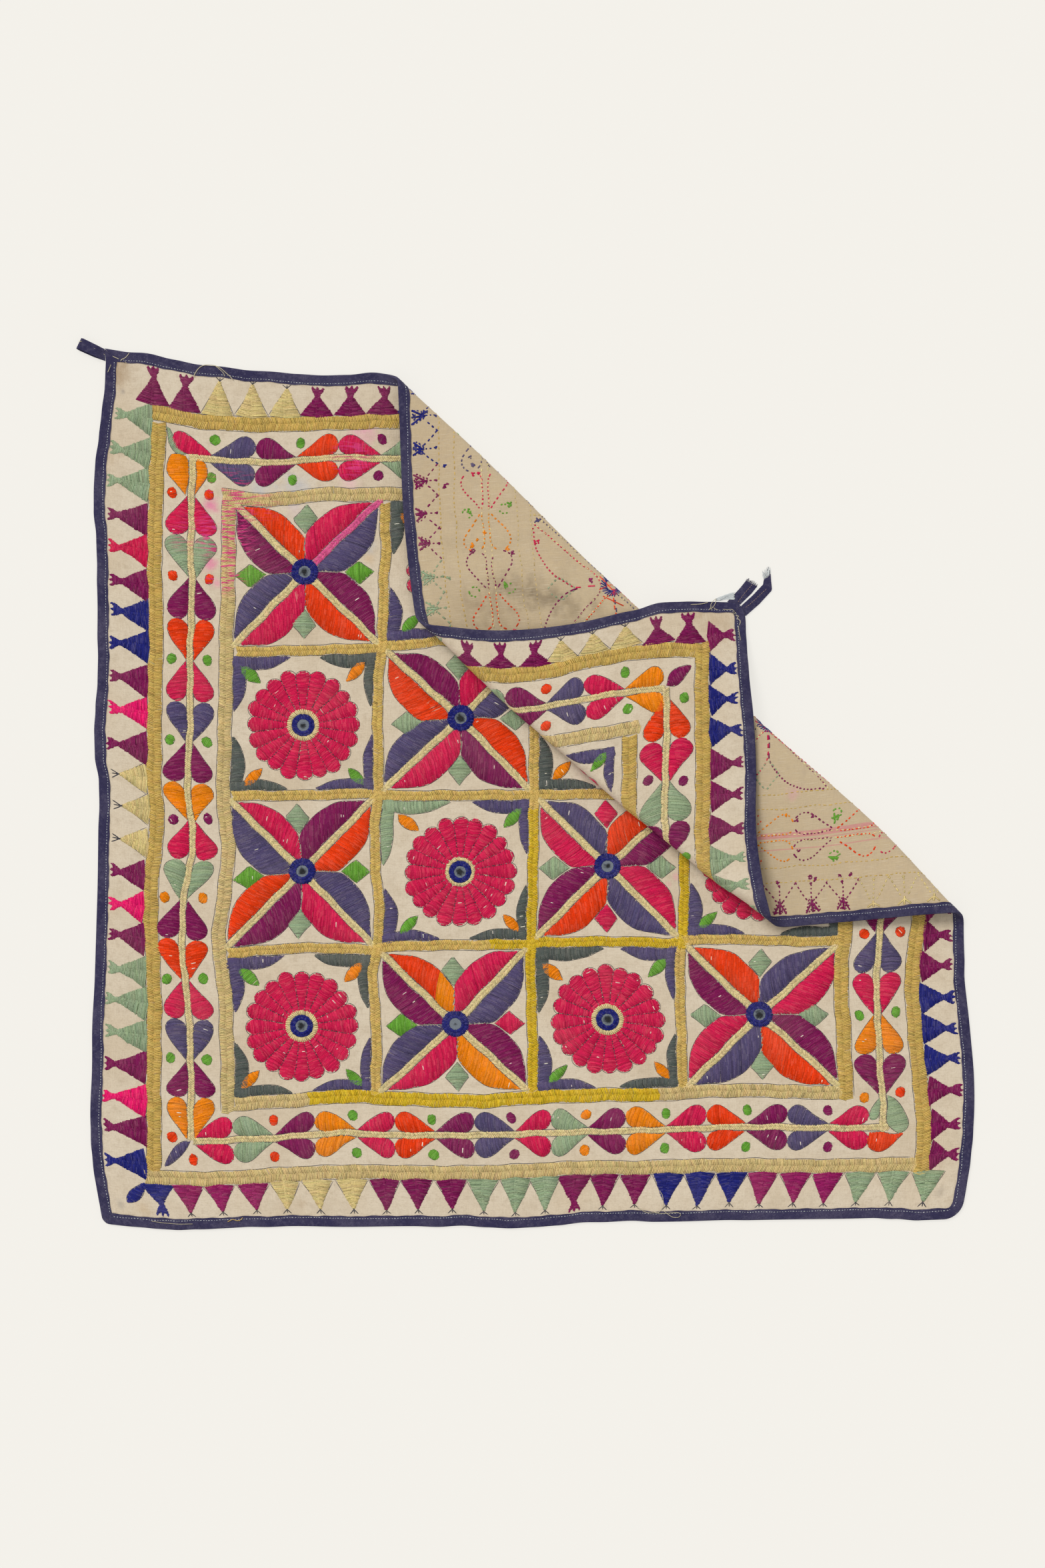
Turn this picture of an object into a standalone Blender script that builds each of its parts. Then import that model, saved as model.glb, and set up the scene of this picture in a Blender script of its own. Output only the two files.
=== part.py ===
# Embroidered square wall hanging with mirror work, lying on a floor with one corner folded back twice.
# Metres, +Z up. X runs right and Y up in the hanging, and the origin is its middle, on the floor.
# Every sewn piece is built flat, in the hanging's own square, and then bent by fold().
# In that flat square x and y are places on the cloth and z is the height above the cloth's middle layer,
# positive on the embroidered face.

from math import pi

import bmesh
import bpy
import numpy as np
from mathutils import Matrix, Vector

# Driving sizes of the hanging
HALF = 0.475                # half the side of the square, to the outer edge of the binding
CLOTH = 0.0015              # thickness of the embroidered cotton
TAPE = 0.0005               # thickness of the binding tape, one layer
TAPE_GAP = 0.0005           # clearance between the tape and the cloth's two faces
TAPE_REACH = 0.0115         # how far the binding reaches in from the outer edge
EDGE_CLEAR = 0.0010         # clearance between the cloth's cut edge and the fold of the tape
MITRE_GAP = 0.0002          # half the gap between two sides of the binding at a corner
MIRROR_RADIUS = 0.0074
SMALL_MIRROR_RADIUS = 0.0056
SMALL_MIRRORS = ((1, 3), (2, 4))    # rows and columns of the two that lie where a fold begins
MIRROR_THICK = 0.0010
MIRROR_GAP = 0.0005

# Middle of each mirror on the flat square, in millimetres: x and y, four to a row, from the top left.
# The embroiderer placed them by eye, so they aren't on a true grid.
MIRROR_PLACES = (
    ((-249.7, 253.4), (-80.0, 256.0), (88.0, 250.0), (252.0, 256.0)),
    ((-250.3, 83.0), (-79.0, 91.3), (86.0, 92.0), (250.0, 90.0)),
    ((-250.9, -79.4), (-78.1, -79.7), (83.1, -74.0), (249.0, -72.0)),
    ((-248.7, -251.5), (-82.2, -248.7), (82.8, -246.2), (247.8, -239.7)),
)

# How uneven each side is: millimetres moved outward, at eleven even places along it.
# Left and right are listed from the bottom up, bottom and top from left to right.
SIDE_LEFT = (-10, 7, 6, 3, 0, -1, 1, 0, 3, -1, -7)
SIDE_RIGHT = (-8, 9, 8, 0, 0, 3, 6, 9, 18, 22, 21)
SIDE_BOTTOM = (-8, 3, 0, 0, 0, 0, -5, -6, -8, -10, -15)
SIDE_TOP = (12, -3, -13, -15, -15, -15, -21, -33, -28, -14, -15)

# The two lower corners are rounded: side of the hanging in x and y, and radius
ROUND_CORNERS = (
    (-1, -1, 0.008),
    (1, -1, 0.018),
)

# First fold: the corner turns over onto the face. Angle from +X, and distance of its outer edge.
FOLD_1_ANGLE = -43.5
FOLD_1_EDGE = 0.2275
# Place along the fold, radius of the roll, how far its edge bulges out (all in metres)
FOLD_1 = (
    (-0.45, 0.0095, 0.0000),
    (-0.30, 0.0080, 0.0018),
    (-0.11, 0.0080, -0.0018),
    (0.12, 0.0080, 0.0006),
    (0.30, 0.0080, 0.0062),
    (0.45, 0.0095, -0.0010),
)
# Second fold: the corner turns face up again
FOLD_2_ANGLE = -41.6
# Place along the fold, radius of the roll, distance of its edge (all in metres)
FOLD_2 = (
    (-0.20, 0.0085, 0.0600),
    (-0.08, 0.0085, 0.0553),
    (0.06, 0.0090, 0.0560),
    (0.18, 0.0105, 0.0605),
    (0.30, 0.0125, 0.0700),
)
LAYER_2_RISE = 0.0065       # height of the second layer over the first, away from the folds
LAYER_3_RISE = 0.0050       # height of the third layer over the second
SETTLE_1 = 0.120            # length over which each layer settles beyond its fold
SETTLE_2 = 0.120
DROP_LENGTH = 0.078         # how far past the first fold the corner comes down to the floor
RIPPLE = 0.0008             # soft unevenness of the loose layers
RIPPLE_LENGTH = 0.230
EDGE_LIFT = TAPE_GAP + TAPE  # the bound edge lies on its tape, which lifts the cloth by this
LIFT_FLAT = 0.0140          # the lift is full to here from the edge, and gone at LIFT_END
LIFT_END = 0.0550

# The hanging loop at the top left corner, and the two ends of the broken loop at the top right
LOOP_LENGTH = 0.0275
LOOP_WIDTH = 0.0125
LOOP_ANGLE = 154.0          # direction in which the loop points, from +X
LOOP_TAPE = 0.0006
LOOP_OPEN = 0.0062          # height of the upper layer of the loop's tape, to its middle
LOOP_ROOT = 0.0026          # the same at the corner
LOOP_RISE = 0.0110          # length over which it rises from one to the other
LOOP_SKEW = 0.0012          # how far the lower layer shows beside the upper one
TAIL_THICK = 0.0012
SEAM_GAP = 0.0004           # between the corner and what is sewn to it
TAIL_SHORT_ANGLE = 52.5
TAIL_SHORT_LENGTH = 0.0300
TAIL_LONG_ANGLE = 46.5
TAIL_LONG_LENGTH = 0.0390
TAIL_LONG_END_ANGLE = 98.0
TAIL_LONG_END_LENGTH = 0.0130

# Spacing of the CAD mesh
COLUMN_STEP = 0.030         # along the folds
ROW_STEP = 0.050            # across the folds, where the cloth is flat
ROLL_ROWS = 11              # rows around each half roll
LAYER_2_ROWS = 11
LAYER_3_ROWS = 22
STRIP_STEP = 0.034          # along the binding where it is straight
CORNER_STEP = 0.0040        # along the binding within CORNER_LENGTH of a corner
CORNER_LENGTH = 0.020
STRIP_SAG = 0.00008         # how far the binding's straight runs may cut a bend of the cloth

# Colours as linear RGB, and roughness
COTTON = ((0.66, 0.56, 0.43), 0.92)
TAPE_BLUE = ((0.055, 0.055, 0.125), 0.90)
MIRROR_GLASS = ((0.60, 0.62, 0.64), 0.12)


def ease(x):
    """Smooth step from 0 to 1."""
    x = np.clip(x, 0.0, 1.0)
    return x * x * (3.0 - 2.0 * x)


def curve_through(values, first, last, at):
    """Smooth curve through evenly spaced values between first and last."""
    values = np.asarray(values, float)
    x = (np.clip(at, first, last) - first) / (last - first) * (len(values) - 1)
    i = np.clip(np.floor(x).astype(int), 0, len(values) - 2)
    f = x - i
    ends = np.concatenate([[2 * values[0] - values[1]], values, [2 * values[-1] - values[-2]]])
    a, b, c, d = ends[i], ends[i + 1], ends[i + 2], ends[i + 3]
    return 0.5 * (2 * b + (c - a) * f + (2 * a - 5 * b + 4 * c - d) * f ** 2
                  + (3 * b - a - 3 * c + d) * f ** 3)


def between(table, column, at):
    """Column of a table at the places given in its first column, smoothed between its rows."""
    places = np.array([row[0] for row in table])
    values = np.array([row[column] for row in table])
    i = np.clip(np.searchsorted(places, at) - 1, 0, len(places) - 2)
    f = ease((at - places[i]) / (places[i + 1] - places[i]))
    return values[i] * (1 - f) + values[i + 1] * f


def heading(degrees):
    return np.array([np.cos(np.radians(degrees)), np.sin(np.radians(degrees))])


def fold_axes(degrees):
    """Direction along a fold, and the direction across it toward the folded corner."""
    along = heading(degrees)
    return along, np.array([-along[1], along[0]])


ALONG_1, ACROSS_1 = fold_axes(FOLD_1_ANGLE)
ALONG_2, ACROSS_2 = fold_axes(FOLD_2_ANGLE)


def round_off(flat):
    """Draw the square's lower corners in to their round."""
    rounded = flat.copy()
    for side_x, side_y, radius in ROUND_CORNERS:
        into = flat * (side_x, side_y) - (HALF - radius)
        near = np.all(into > 0, axis=1)
        shrink = np.max(into[near], axis=1) / np.linalg.norm(into[near], axis=1) - 1
        rounded[near] += into[near] * shrink[:, None] * (side_x, side_y)
    return rounded


def uneven(flat):
    """Place on the true square to the same place on the hand-made, uneven one."""
    flat = round_off(flat)
    s = np.clip(flat[:, 0] / HALF, -1.2, 1.2)
    t = np.clip(flat[:, 1] / HALF, -1.2, 1.2)
    left = curve_through(SIDE_LEFT, -1, 1, t) * 0.001
    right = curve_through(SIDE_RIGHT, -1, 1, t) * 0.001
    bottom = curve_through(SIDE_BOTTOM, -1, 1, s) * 0.001
    top = curve_through(SIDE_TOP, -1, 1, s) * 0.001
    x = flat[:, 0] - (1 - s) / 2 * left + (1 + s) / 2 * right
    y = flat[:, 1] - (1 - t) / 2 * bottom + (1 + t) / 2 * top
    return np.stack([x, y], axis=1)


def even(outline):
    """The reverse of uneven(), by repeated correction."""
    flat = outline.copy()
    for _ in range(12):
        flat += outline - uneven(flat)
    return flat


def height_of_layer_2(along, inside):
    """Height of the second layer over the first, at a distance inside the first fold's edge."""
    radius = between(FOLD_1, 1, along)
    settled = ease((inside - radius) / SETTLE_1)
    ripple = RIPPLE * np.sin(2 * pi * along / RIPPLE_LENGTH + 0.6) * ease((inside - radius) / SETTLE_1)
    return 2 * radius + (LAYER_2_RISE - 2 * radius) * settled + ripple


def middle_layer(flat):
    """Where the middle of the cloth lies in the world, for places on the flat square."""
    sheet = uneven(flat)
    along = sheet @ ALONG_1
    radius = between(FOLD_1, 1, along)
    start = FOLD_1_EDGE - radius
    turned = sheet @ ACROSS_1 - start
    angle = np.clip(turned / radius, 0, pi)
    past = np.maximum(turned - pi * radius, 0)
    across = start + np.where(turned < 0, turned, radius * np.sin(angle)) - past
    across += between(FOLD_1, 2, along) * ease(1 - np.abs(turned - pi * radius / 2) / 0.06)
    height = radius * (1 - np.cos(angle))
    place = along[:, None] * ALONG_1 + across[:, None] * ACROSS_1

    along_2 = place @ ALONG_2
    radius_2 = between(FOLD_2, 1, along_2)
    start_2 = between(FOLD_2, 2, along_2) + radius_2
    turned_2 = np.where(past > 0, start_2 - place @ ACROSS_2, -1.0)
    angle_2 = np.clip(turned_2 / radius_2, 0, pi)
    past_2 = np.maximum(turned_2 - pi * radius_2, 0)
    across_2 = start_2 - radius_2 * np.sin(angle_2) + past_2
    across_2 = np.where(turned_2 > 0, across_2, place @ ACROSS_2)
    place = along_2[:, None] * ALONG_2 + across_2[:, None] * ACROSS_2

    along_now = place @ ALONG_1
    inside = FOLD_1_EDGE - place @ ACROSS_1
    height = np.where(past > 0, height_of_layer_2(along_now, inside), height)
    height_3 = radius_2 * (1 - np.cos(angle_2)) + (LAYER_3_RISE - 2 * radius_2) * ease(past_2 / SETTLE_2)
    height = (height + height_3) * (1 - np.where(past_2 > 0, ease(-inside / DROP_LENGTH), 0.0))

    edge_distance = HALF - np.max(np.abs(flat), axis=1)
    lift = EDGE_LIFT * ease((LIFT_END - edge_distance) / (LIFT_END - LIFT_FLAT))
    return np.concatenate([place, (height + lift + CLOTH / 2)[:, None]], axis=1)


def fold(points):
    """Flat places with a height off the cloth's middle layer to the same places in the folded hanging."""
    points = np.asarray(points, float)
    flat = points[:, :2]
    step = 0.0002
    right = middle_layer(flat + [step, 0]) - middle_layer(flat - [step, 0])
    up = middle_layer(flat + [0, step]) - middle_layer(flat - [0, step])
    face = np.cross(right, up)
    face /= np.linalg.norm(face, axis=1)[:, None]
    return middle_layer(flat) + face * points[:, 2:3], face


def material(name, look, metallic=0.0):
    colour, roughness = look
    made = bpy.data.materials.new(name)
    made.use_nodes = True
    shader = made.node_tree.nodes["Principled BSDF"]
    shader.inputs["Base Color"].default_value = (*colour, 1.0)
    shader.inputs["Roughness"].default_value = roughness
    shader.inputs["Metallic"].default_value = metallic
    made.diffuse_color = (*colour, 1.0)
    return made


def finish_piece(name, bm, look, metallic=0.0):
    """Turn a bmesh into one named object with its own material."""
    bmesh.ops.recalc_face_normals(bm, faces=bm.faces)
    if bm.calc_volume(signed=True) < 0:
        bmesh.ops.reverse_faces(bm, faces=bm.faces)
    mesh = bpy.data.meshes.new(name)
    bm.to_mesh(mesh)
    bm.free()
    mesh.materials.append(material(name, look, metallic))
    piece = bpy.data.objects.new(name, mesh)
    bpy.context.collection.objects.link(piece)
    return piece


def fold_piece(bm):
    """Bend a piece that was built flat."""
    bm.verts.ensure_lookup_table()
    folded, _ = fold([vert.co for vert in bm.verts])
    for vert, place in zip(bm.verts, folded):
        vert.co = place


def column_rows(along):
    """Distances across the first fold at which a column of the cloth's mesh has its rows."""
    spread = np.linspace(0.0, 1.0, 1401)
    reach = FOLD_1_EDGE - between(FOLD_1, 1, np.array([along]))[0]
    radius = between(FOLD_1, 1, np.array([along]))[0]
    flat_rows = np.linspace(-0.720, reach - 0.001, int((0.720 + reach) / ROW_STEP))
    roll_end = reach + pi * radius
    roll_rows = np.linspace(reach, roll_end, ROLL_ROWS + 1)
    # The second fold is found by walking on from the first one, along the second layer
    walk = roll_end + spread * 0.45
    across = reach - (walk - roll_end)
    place = along * ALONG_1 + across[:, None] * ACROSS_1
    radius_2 = between(FOLD_2, 1, place @ ALONG_2)
    turned_2 = between(FOLD_2, 2, place @ ALONG_2) + radius_2 - place @ ACROSS_2
    begin = np.interp(0.0, turned_2, walk)
    end = np.interp(0.0, turned_2 - pi * radius_2, walk)
    layer_2_rows = np.linspace(roll_end, begin, LAYER_2_ROWS + 2)[1:-1]
    roll_2_rows = np.linspace(begin, end, ROLL_ROWS + 1)
    layer_3_rows = np.linspace(end, 0.700, LAYER_3_ROWS + 1)[1:]
    return np.concatenate([flat_rows, roll_rows, layer_2_rows, roll_2_rows, layer_3_rows])


def build_cloth():
    """The one embroidered cotton square, cut flat with its mesh in line with the folds, then folded."""
    columns = np.arange(-0.720, 0.7201, COLUMN_STEP)
    places = []
    for along in columns:
        rows = column_rows(along)
        places.append(along * ALONG_1 + rows[:, None] * ACROSS_1)
    places = np.array(places)
    flat = even(places.reshape(-1, 2)).reshape(places.shape)

    bm = bmesh.new()
    grid = [[bm.verts.new((*spot, -CLOTH / 2)) for spot in column] for column in flat]
    for left, right in zip(grid[:-1], grid[1:]):
        for i in range(len(left) - 1):
            bm.faces.new((left[i], right[i], right[i + 1], left[i + 1]))
    cut_edge = HALF - TAPE - EDGE_CLEAR
    for side in (Vector((1, 0, 0)), Vector((-1, 0, 0)), Vector((0, 1, 0)), Vector((0, -1, 0))):
        everything = bm.verts[:] + bm.edges[:] + bm.faces[:]
        bmesh.ops.bisect_plane(bm, geom=everything, plane_co=side * cut_edge, plane_no=side,
                               clear_outer=True, dist=0.0004)
    for side in (Vector((1, 0, 0)), Vector((-1, 0, 0)), Vector((0, 1, 0)), Vector((0, -1, 0))):
        everything = bm.verts[:] + bm.edges[:] + bm.faces[:]
        bmesh.ops.bisect_plane(bm, geom=everything, plane_co=side * (HALF - LIFT_FLAT), plane_no=side,
                               dist=0.0012)
    bmesh.ops.triangulate(bm, faces=bm.faces[:])
    raised = bmesh.ops.extrude_face_region(bm, geom=bm.faces[:])["geom"]
    for item in raised:
        if isinstance(item, bmesh.types.BMVert):
            item.co.z += CLOTH
    fold_piece(bm)
    return finish_piece("ground_cloth", bm, COTTON)


def strip_places(turn):
    """Places along a side of the binding, from -1 to 1, closer together where the cloth bends."""
    tries = np.linspace(-1.0, 1.0, 1201)
    density = np.full(len(tries), 1.0 / STRIP_STEP)
    for inward in (0.0, TAPE_REACH):
        spots = [turn @ Vector((place * (HALF - inward), HALF - inward, 0.0)) for place in tries]
        _, face = fold(spots)
        bend = np.linalg.norm(np.gradient(face, axis=0), axis=1) / (tries[1] - tries[0]) / HALF
        density = np.maximum(density, np.sqrt(bend / (8 * STRIP_SAG)))
    density[np.abs(tries) > 1 - CORNER_LENGTH / HALF] = 1.0 / CORNER_STEP
    count = np.concatenate([[0.0], np.cumsum((density[1:] + density[:-1]) / 2) * HALF * (tries[1] - tries[0])])
    return np.interp(np.linspace(0, count[-1], int(count[-1]) + 1), count, tries)


def build_binding(name, degrees, wing_parts):
    """One side of the folded tape, U-shaped over the edge and mitred at both ends."""
    turn = Matrix.Rotation(np.radians(degrees), 3, "Z")
    inner = np.linspace(TAPE, TAPE_REACH, wing_parts + 1)
    outer = np.linspace(0.0, TAPE_REACH, wing_parts + 1)
    low, high = CLOTH / 2 + TAPE_GAP, CLOTH / 2 + TAPE_GAP + TAPE
    section = [(u, high) for u in outer] + [(u, low) for u in inner[::-1]]
    section += [(u, -low) for u in inner] + [(u, -high) for u in outer[::-1]]
    bm = bmesh.new()
    rings = []
    for place in strip_places(turn):
        ring = []
        for inward, height in section:
            along = place * (HALF - inward - MITRE_GAP)
            spot = turn @ Vector((along, HALF - inward, height))
            ring.append(bm.verts.new(spot))
        rings.append(ring)
    for ring, following in zip(rings[:-1], rings[1:]):
        for i in range(len(section)):
            j = (i + 1) % len(section)
            bm.faces.new((ring[i], ring[j], following[j], following[i]))
    for ring in (rings[0], rings[-1]):
        count = wing_parts + 1
        upper = ring[:count] + ring[count:2 * count]
        lower = ring[2 * count:3 * count] + ring[3 * count:]
        bm.faces.new(upper)
        bm.faces.new(lower)
        bm.faces.new((ring[0], ring[2 * count - 1], ring[2 * count], ring[-1]))
    fold_piece(bm)
    return finish_piece(name, bm, TAPE_BLUE)


def build_mirror(name, x, y, radius):
    """A glass disc sewn to the face, just clear of the cloth even where the cloth is rolled under it."""
    middle, face = fold([(x, y, CLOTH / 2)])
    nearby = [(x + r * np.cos(a), y + r * np.sin(a), CLOTH / 2)
              for a in np.linspace(0, 2 * pi, 25) for r in np.linspace(0.0, radius * 1.7, 12)]
    offsets = fold(nearby)[0] - middle
    height = offsets @ face[0]
    sideways = np.linalg.norm(offsets - height[:, None] * face[0], axis=1)
    seat = float(np.max(height[sideways < radius + MIRROR_GAP])) + MIRROR_GAP
    facing = Vector(face[0]).to_track_quat("Z", "Y").to_matrix().to_4x4()
    centre = Vector(middle[0] + face[0] * (seat + MIRROR_THICK / 2))
    bm = bmesh.new()
    bmesh.ops.create_cone(bm, cap_ends=True, segments=16, radius1=radius, radius2=radius,
                          depth=MIRROR_THICK, matrix=Matrix.Translation(centre) @ facing)
    return finish_piece(name, bm, MIRROR_GLASS, metallic=0.9)


def build_loop():
    """The tape loop: a narrow band that leaves the corner, turns over and comes back under itself."""
    corner, lower = (place[:2] for place in fold([(-HALF, HALF, 0.0), (-HALF, HALF - 0.013, 0.0)])[0])
    side = (lower - corner) / np.linalg.norm(lower - corner)
    out = heading(LOOP_ANGLE)
    square = heading(LOOP_ANGLE + 90)
    # The root lies along the hanging's side and the tip is square, so the strip has four plan corners
    root = corner + side * 0.0006 + np.array([-SEAM_GAP, 0.0])
    tip = root + out * LOOP_LENGTH
    roots = (root, root + side * LOOP_WIDTH * 1.06)
    tips = (tip, tip + square * LOOP_WIDTH)
    bend = (LOOP_OPEN - LOOP_TAPE / 2) / 2
    straight = LOOP_LENGTH - bend
    # Distance from the corner, height of the tape's middle, share of the turn-over done
    path = []
    for share in (0.0, 0.2, 0.4, 0.6, 0.8, 1.0):
        path.append((LOOP_RISE * share, LOOP_ROOT + (LOOP_OPEN - LOOP_ROOT) * ease(share), 0.0))
    for angle in np.linspace(0, pi, 9):
        path.append((straight + bend * np.sin(angle), LOOP_TAPE / 2 + bend + bend * np.cos(angle), angle / pi))
    path.append((LOOP_RISE, LOOP_TAPE / 2, 1.0))
    path.append((0.0, LOOP_TAPE / 2, 1.0))

    bm = bmesh.new()
    rings = []
    for i, (distance, height, turned) in enumerate(path):
        before = path[max(i - 1, 0)]
        after = path[min(i + 1, len(path) - 1)]
        run = np.array([after[0] - before[0], after[1] - before[1]])
        run /= np.linalg.norm(run)
        normal = np.array([-run[1], run[0]]) * LOOP_TAPE / 2
        if i in (0, len(path) - 1):
            normal = np.array([0.0, np.sign(normal[1]) * LOOP_TAPE / 2])
        ring = []
        for offset, edge in ((1, 0), (1, 1), (-1, 1), (-1, 0)):
            share = (distance + offset * normal[0]) / LOOP_LENGTH
            spot = roots[edge] + (tips[edge] - roots[edge]) * share
            spot = spot + square * LOOP_SKEW * turned * min(1.0, distance / 0.010)
            ring.append(bm.verts.new((spot[0], spot[1], height + offset * normal[1])))
        rings.append(ring)
    for ring, following in zip(rings[:-1], rings[1:]):
        for i in range(4):
            j = (i + 1) % 4
            bm.faces.new((ring[i], ring[j], following[j], following[i]))
    bm.faces.new(rings[0])
    bm.faces.new(rings[-1])
    return finish_piece("loop_tab", bm, TAPE_BLUE)


def build_tail(name, edges):
    """A flat end of tape, from pairs of edge points with a height, thickened upward."""
    bm = bmesh.new()
    rows = []
    for left, right, height in edges:
        row = [bm.verts.new((left[0], left[1], height)), bm.verts.new((right[0], right[1], height)),
               bm.verts.new((right[0], right[1], height + TAIL_THICK)),
               bm.verts.new((left[0], left[1], height + TAIL_THICK))]
        rows.append(row)
    for row, following in zip(rows[:-1], rows[1:]):
        for i in range(4):
            j = (i + 1) % 4
            bm.faces.new((row[i], row[j], following[j], following[i]))
    bm.faces.new(rows[0])
    bm.faces.new(rows[-1])
    bmesh.ops.triangulate(bm, faces=bm.faces[:])
    return finish_piece(name, bm, TAPE_BLUE)


def build_tails():
    """The two ends of the torn loop, sewn to the folded corner."""
    corner, along_top, down_side = (place[:2] for place in fold([
        (HALF, HALF, 0.0), (HALF - 0.020, HALF, 0.0), (HALF, HALF - 0.020, 0.0)])[0])
    top = (along_top - corner) / np.linalg.norm(along_top - corner)
    side = (down_side - corner) / np.linalg.norm(down_side - corner)

    root = corner - side * SEAM_GAP
    left, right = root + top * 0.0165, root + top * 0.0012
    out = heading(TAIL_SHORT_ANGLE)
    short = [(left, right, 0.0006)]
    for share, height in ((0.3, 0.0003), (0.65, 0.0), (1.0, 0.0004)):
        narrow = (right - left) / np.linalg.norm(right - left) * 0.0006 * share
        short.append((left + narrow + out * TAIL_SHORT_LENGTH * share,
                      right - narrow + out * TAIL_SHORT_LENGTH * share, height))
    build_tail("broken_tab_short", short)

    root = corner - top * SEAM_GAP
    left, right = root + side * 0.0008, root + side * 0.0150
    out = heading(TAIL_LONG_ANGLE)
    turn_out = heading(TAIL_LONG_END_ANGLE)
    shift = heading(TAIL_LONG_ANGLE - 90) * 0.0008
    long = [(left, right, 0.0006)]
    for share, height in ((0.35, 0.0002), (0.7, 0.0)):
        long.append((left + shift + out * TAIL_LONG_LENGTH * share,
                     right + out * TAIL_LONG_LENGTH * (share - 0.05), height))
    bend_left = left + shift + out * TAIL_LONG_LENGTH * 0.93
    bend_right = right + out * TAIL_LONG_LENGTH
    long.append((bend_left, bend_right, 0.0))
    for share, height in ((0.5, 0.0006), (1.0, 0.0016)):
        long.append((bend_left + turn_out * TAIL_LONG_END_LENGTH * share,
                     bend_right + turn_out * TAIL_LONG_END_LENGTH * (share + 0.55)
                     - np.array([0.002, 0]) * share, height))
    build_tail("broken_tab_long", long)


def build():
    for old in list(bpy.data.objects):
        bpy.data.objects.remove(old)
    build_cloth()
    build_binding("binding_top", 0, wing_parts=3)
    build_binding("binding_right", -90, wing_parts=3)
    build_binding("binding_bottom", 180, wing_parts=1)
    build_binding("binding_left", 90, wing_parts=1)
    for row, places in enumerate(MIRROR_PLACES, start=1):
        for column, (x, y) in enumerate(places, start=1):
            radius = SMALL_MIRROR_RADIUS if (row, column) in SMALL_MIRRORS else MIRROR_RADIUS
            build_mirror(f"mirror_r{row}_c{column}", x * 0.001, y * 0.001, radius)
    build_loop()
    build_tails()


build()
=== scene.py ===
# Embroidered square wall hanging with mirror work, lying flat with one corner folded back twice.
# Metres, +Z up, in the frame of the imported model. It is put together here in the order of the real work:
# the ground cloth, its drawn pattern and embroidery, the mirrors, the bound edges, the loops, loose ends.

from math import pi

import bmesh
import bpy
import numpy as np
from mathutils import Matrix, Vector


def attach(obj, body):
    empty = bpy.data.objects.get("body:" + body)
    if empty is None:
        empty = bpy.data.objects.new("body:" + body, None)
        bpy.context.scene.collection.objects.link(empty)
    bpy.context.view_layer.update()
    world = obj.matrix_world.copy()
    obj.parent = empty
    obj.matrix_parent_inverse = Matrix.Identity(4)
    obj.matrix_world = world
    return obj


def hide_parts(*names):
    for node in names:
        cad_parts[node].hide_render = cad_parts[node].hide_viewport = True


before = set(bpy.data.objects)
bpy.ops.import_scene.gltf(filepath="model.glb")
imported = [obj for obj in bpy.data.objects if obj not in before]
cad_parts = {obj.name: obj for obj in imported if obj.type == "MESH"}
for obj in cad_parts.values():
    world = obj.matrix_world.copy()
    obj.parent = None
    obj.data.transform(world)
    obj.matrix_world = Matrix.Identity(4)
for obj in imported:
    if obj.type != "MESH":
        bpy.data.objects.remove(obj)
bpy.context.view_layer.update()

# Room: a pale floor, an even soft light from all round with a weak one from the upper left, and a
# camera straight above the hanging, with the photograph's frame of 1568 by 2352 pixels.
FLOOR_COLOUR = (0.901, 0.879, 0.828)
FLOOR_GLOW = 0.8                    # share of the floor's colour that no shadow darkens
PIXEL = 0.00073                     # metres on the floor for one pixel of the photograph
FRAME_MIDDLE = (-0.0095, 0.0102)    # the point under the middle of the photograph
CAMERA_HEIGHT = 4.6

bm = bmesh.new()
bmesh.ops.create_grid(bm, x_segments=1, y_segments=1, size=4.0)
bmesh.ops.translate(bm, verts=bm.verts, vec=(0, 0, -0.0004))
floor_mesh = bpy.data.meshes.new("floor")
bm.to_mesh(floor_mesh)
bm.free()
floor_paint = bpy.data.materials.new("floor_paper")
floor_paint.use_nodes = True
paper = floor_paint.node_tree.nodes["Principled BSDF"].inputs
paper["Base Color"].default_value = (*(part * (1 - FLOOR_GLOW) for part in FLOOR_COLOUR), 1)
paper["Roughness"].default_value = 0.95
paper["Specular IOR Level"].default_value = 0.0
paper["Emission Color"].default_value = (*FLOOR_COLOUR, 1)
paper["Emission Strength"].default_value = FLOOR_GLOW
floor_mesh.materials.append(floor_paint)
floor = bpy.data.objects.new("floor", floor_mesh)
bpy.context.collection.objects.link(floor)

sky = bpy.data.worlds.new("even_light")
sky.use_nodes = True
sky.node_tree.nodes["Background"].inputs["Color"].default_value = (1.0, 0.99, 0.97, 1)
sky.node_tree.nodes["Background"].inputs["Strength"].default_value = 0.62
bpy.context.scene.world = sky
bpy.context.scene.view_settings.view_transform = "Standard"

lamp_data = bpy.data.lights.new("window_light", "SUN")
lamp_data.energy = 1.75
lamp_data.angle = 0.45
lamp_data.color = (1.0, 0.985, 0.96)
lamp = bpy.data.objects.new("window_light", lamp_data)
lamp.rotation_euler = Vector((-0.62, 0.75, 1.0)).to_track_quat("Z", "Y").to_euler()
bpy.context.collection.objects.link(lamp)

lens = bpy.data.cameras.new("above")
lens.sensor_fit = "VERTICAL"
lens.sensor_height = 36.0
lens.lens = 36.0 * CAMERA_HEIGHT / (2352 * PIXEL)
lens.clip_end = 50
camera = bpy.data.objects.new("above", lens)
camera.location = (*FRAME_MIDDLE, CAMERA_HEIGHT)
bpy.context.collection.objects.link(camera)
bpy.context.scene.camera = camera


def chart(text):
    """Rows of numbers and thread names, with a comma after each row, as a list."""
    return [[word if word.isalpha() else float(word) for word in row.split()] for row in text.split(",")]


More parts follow.
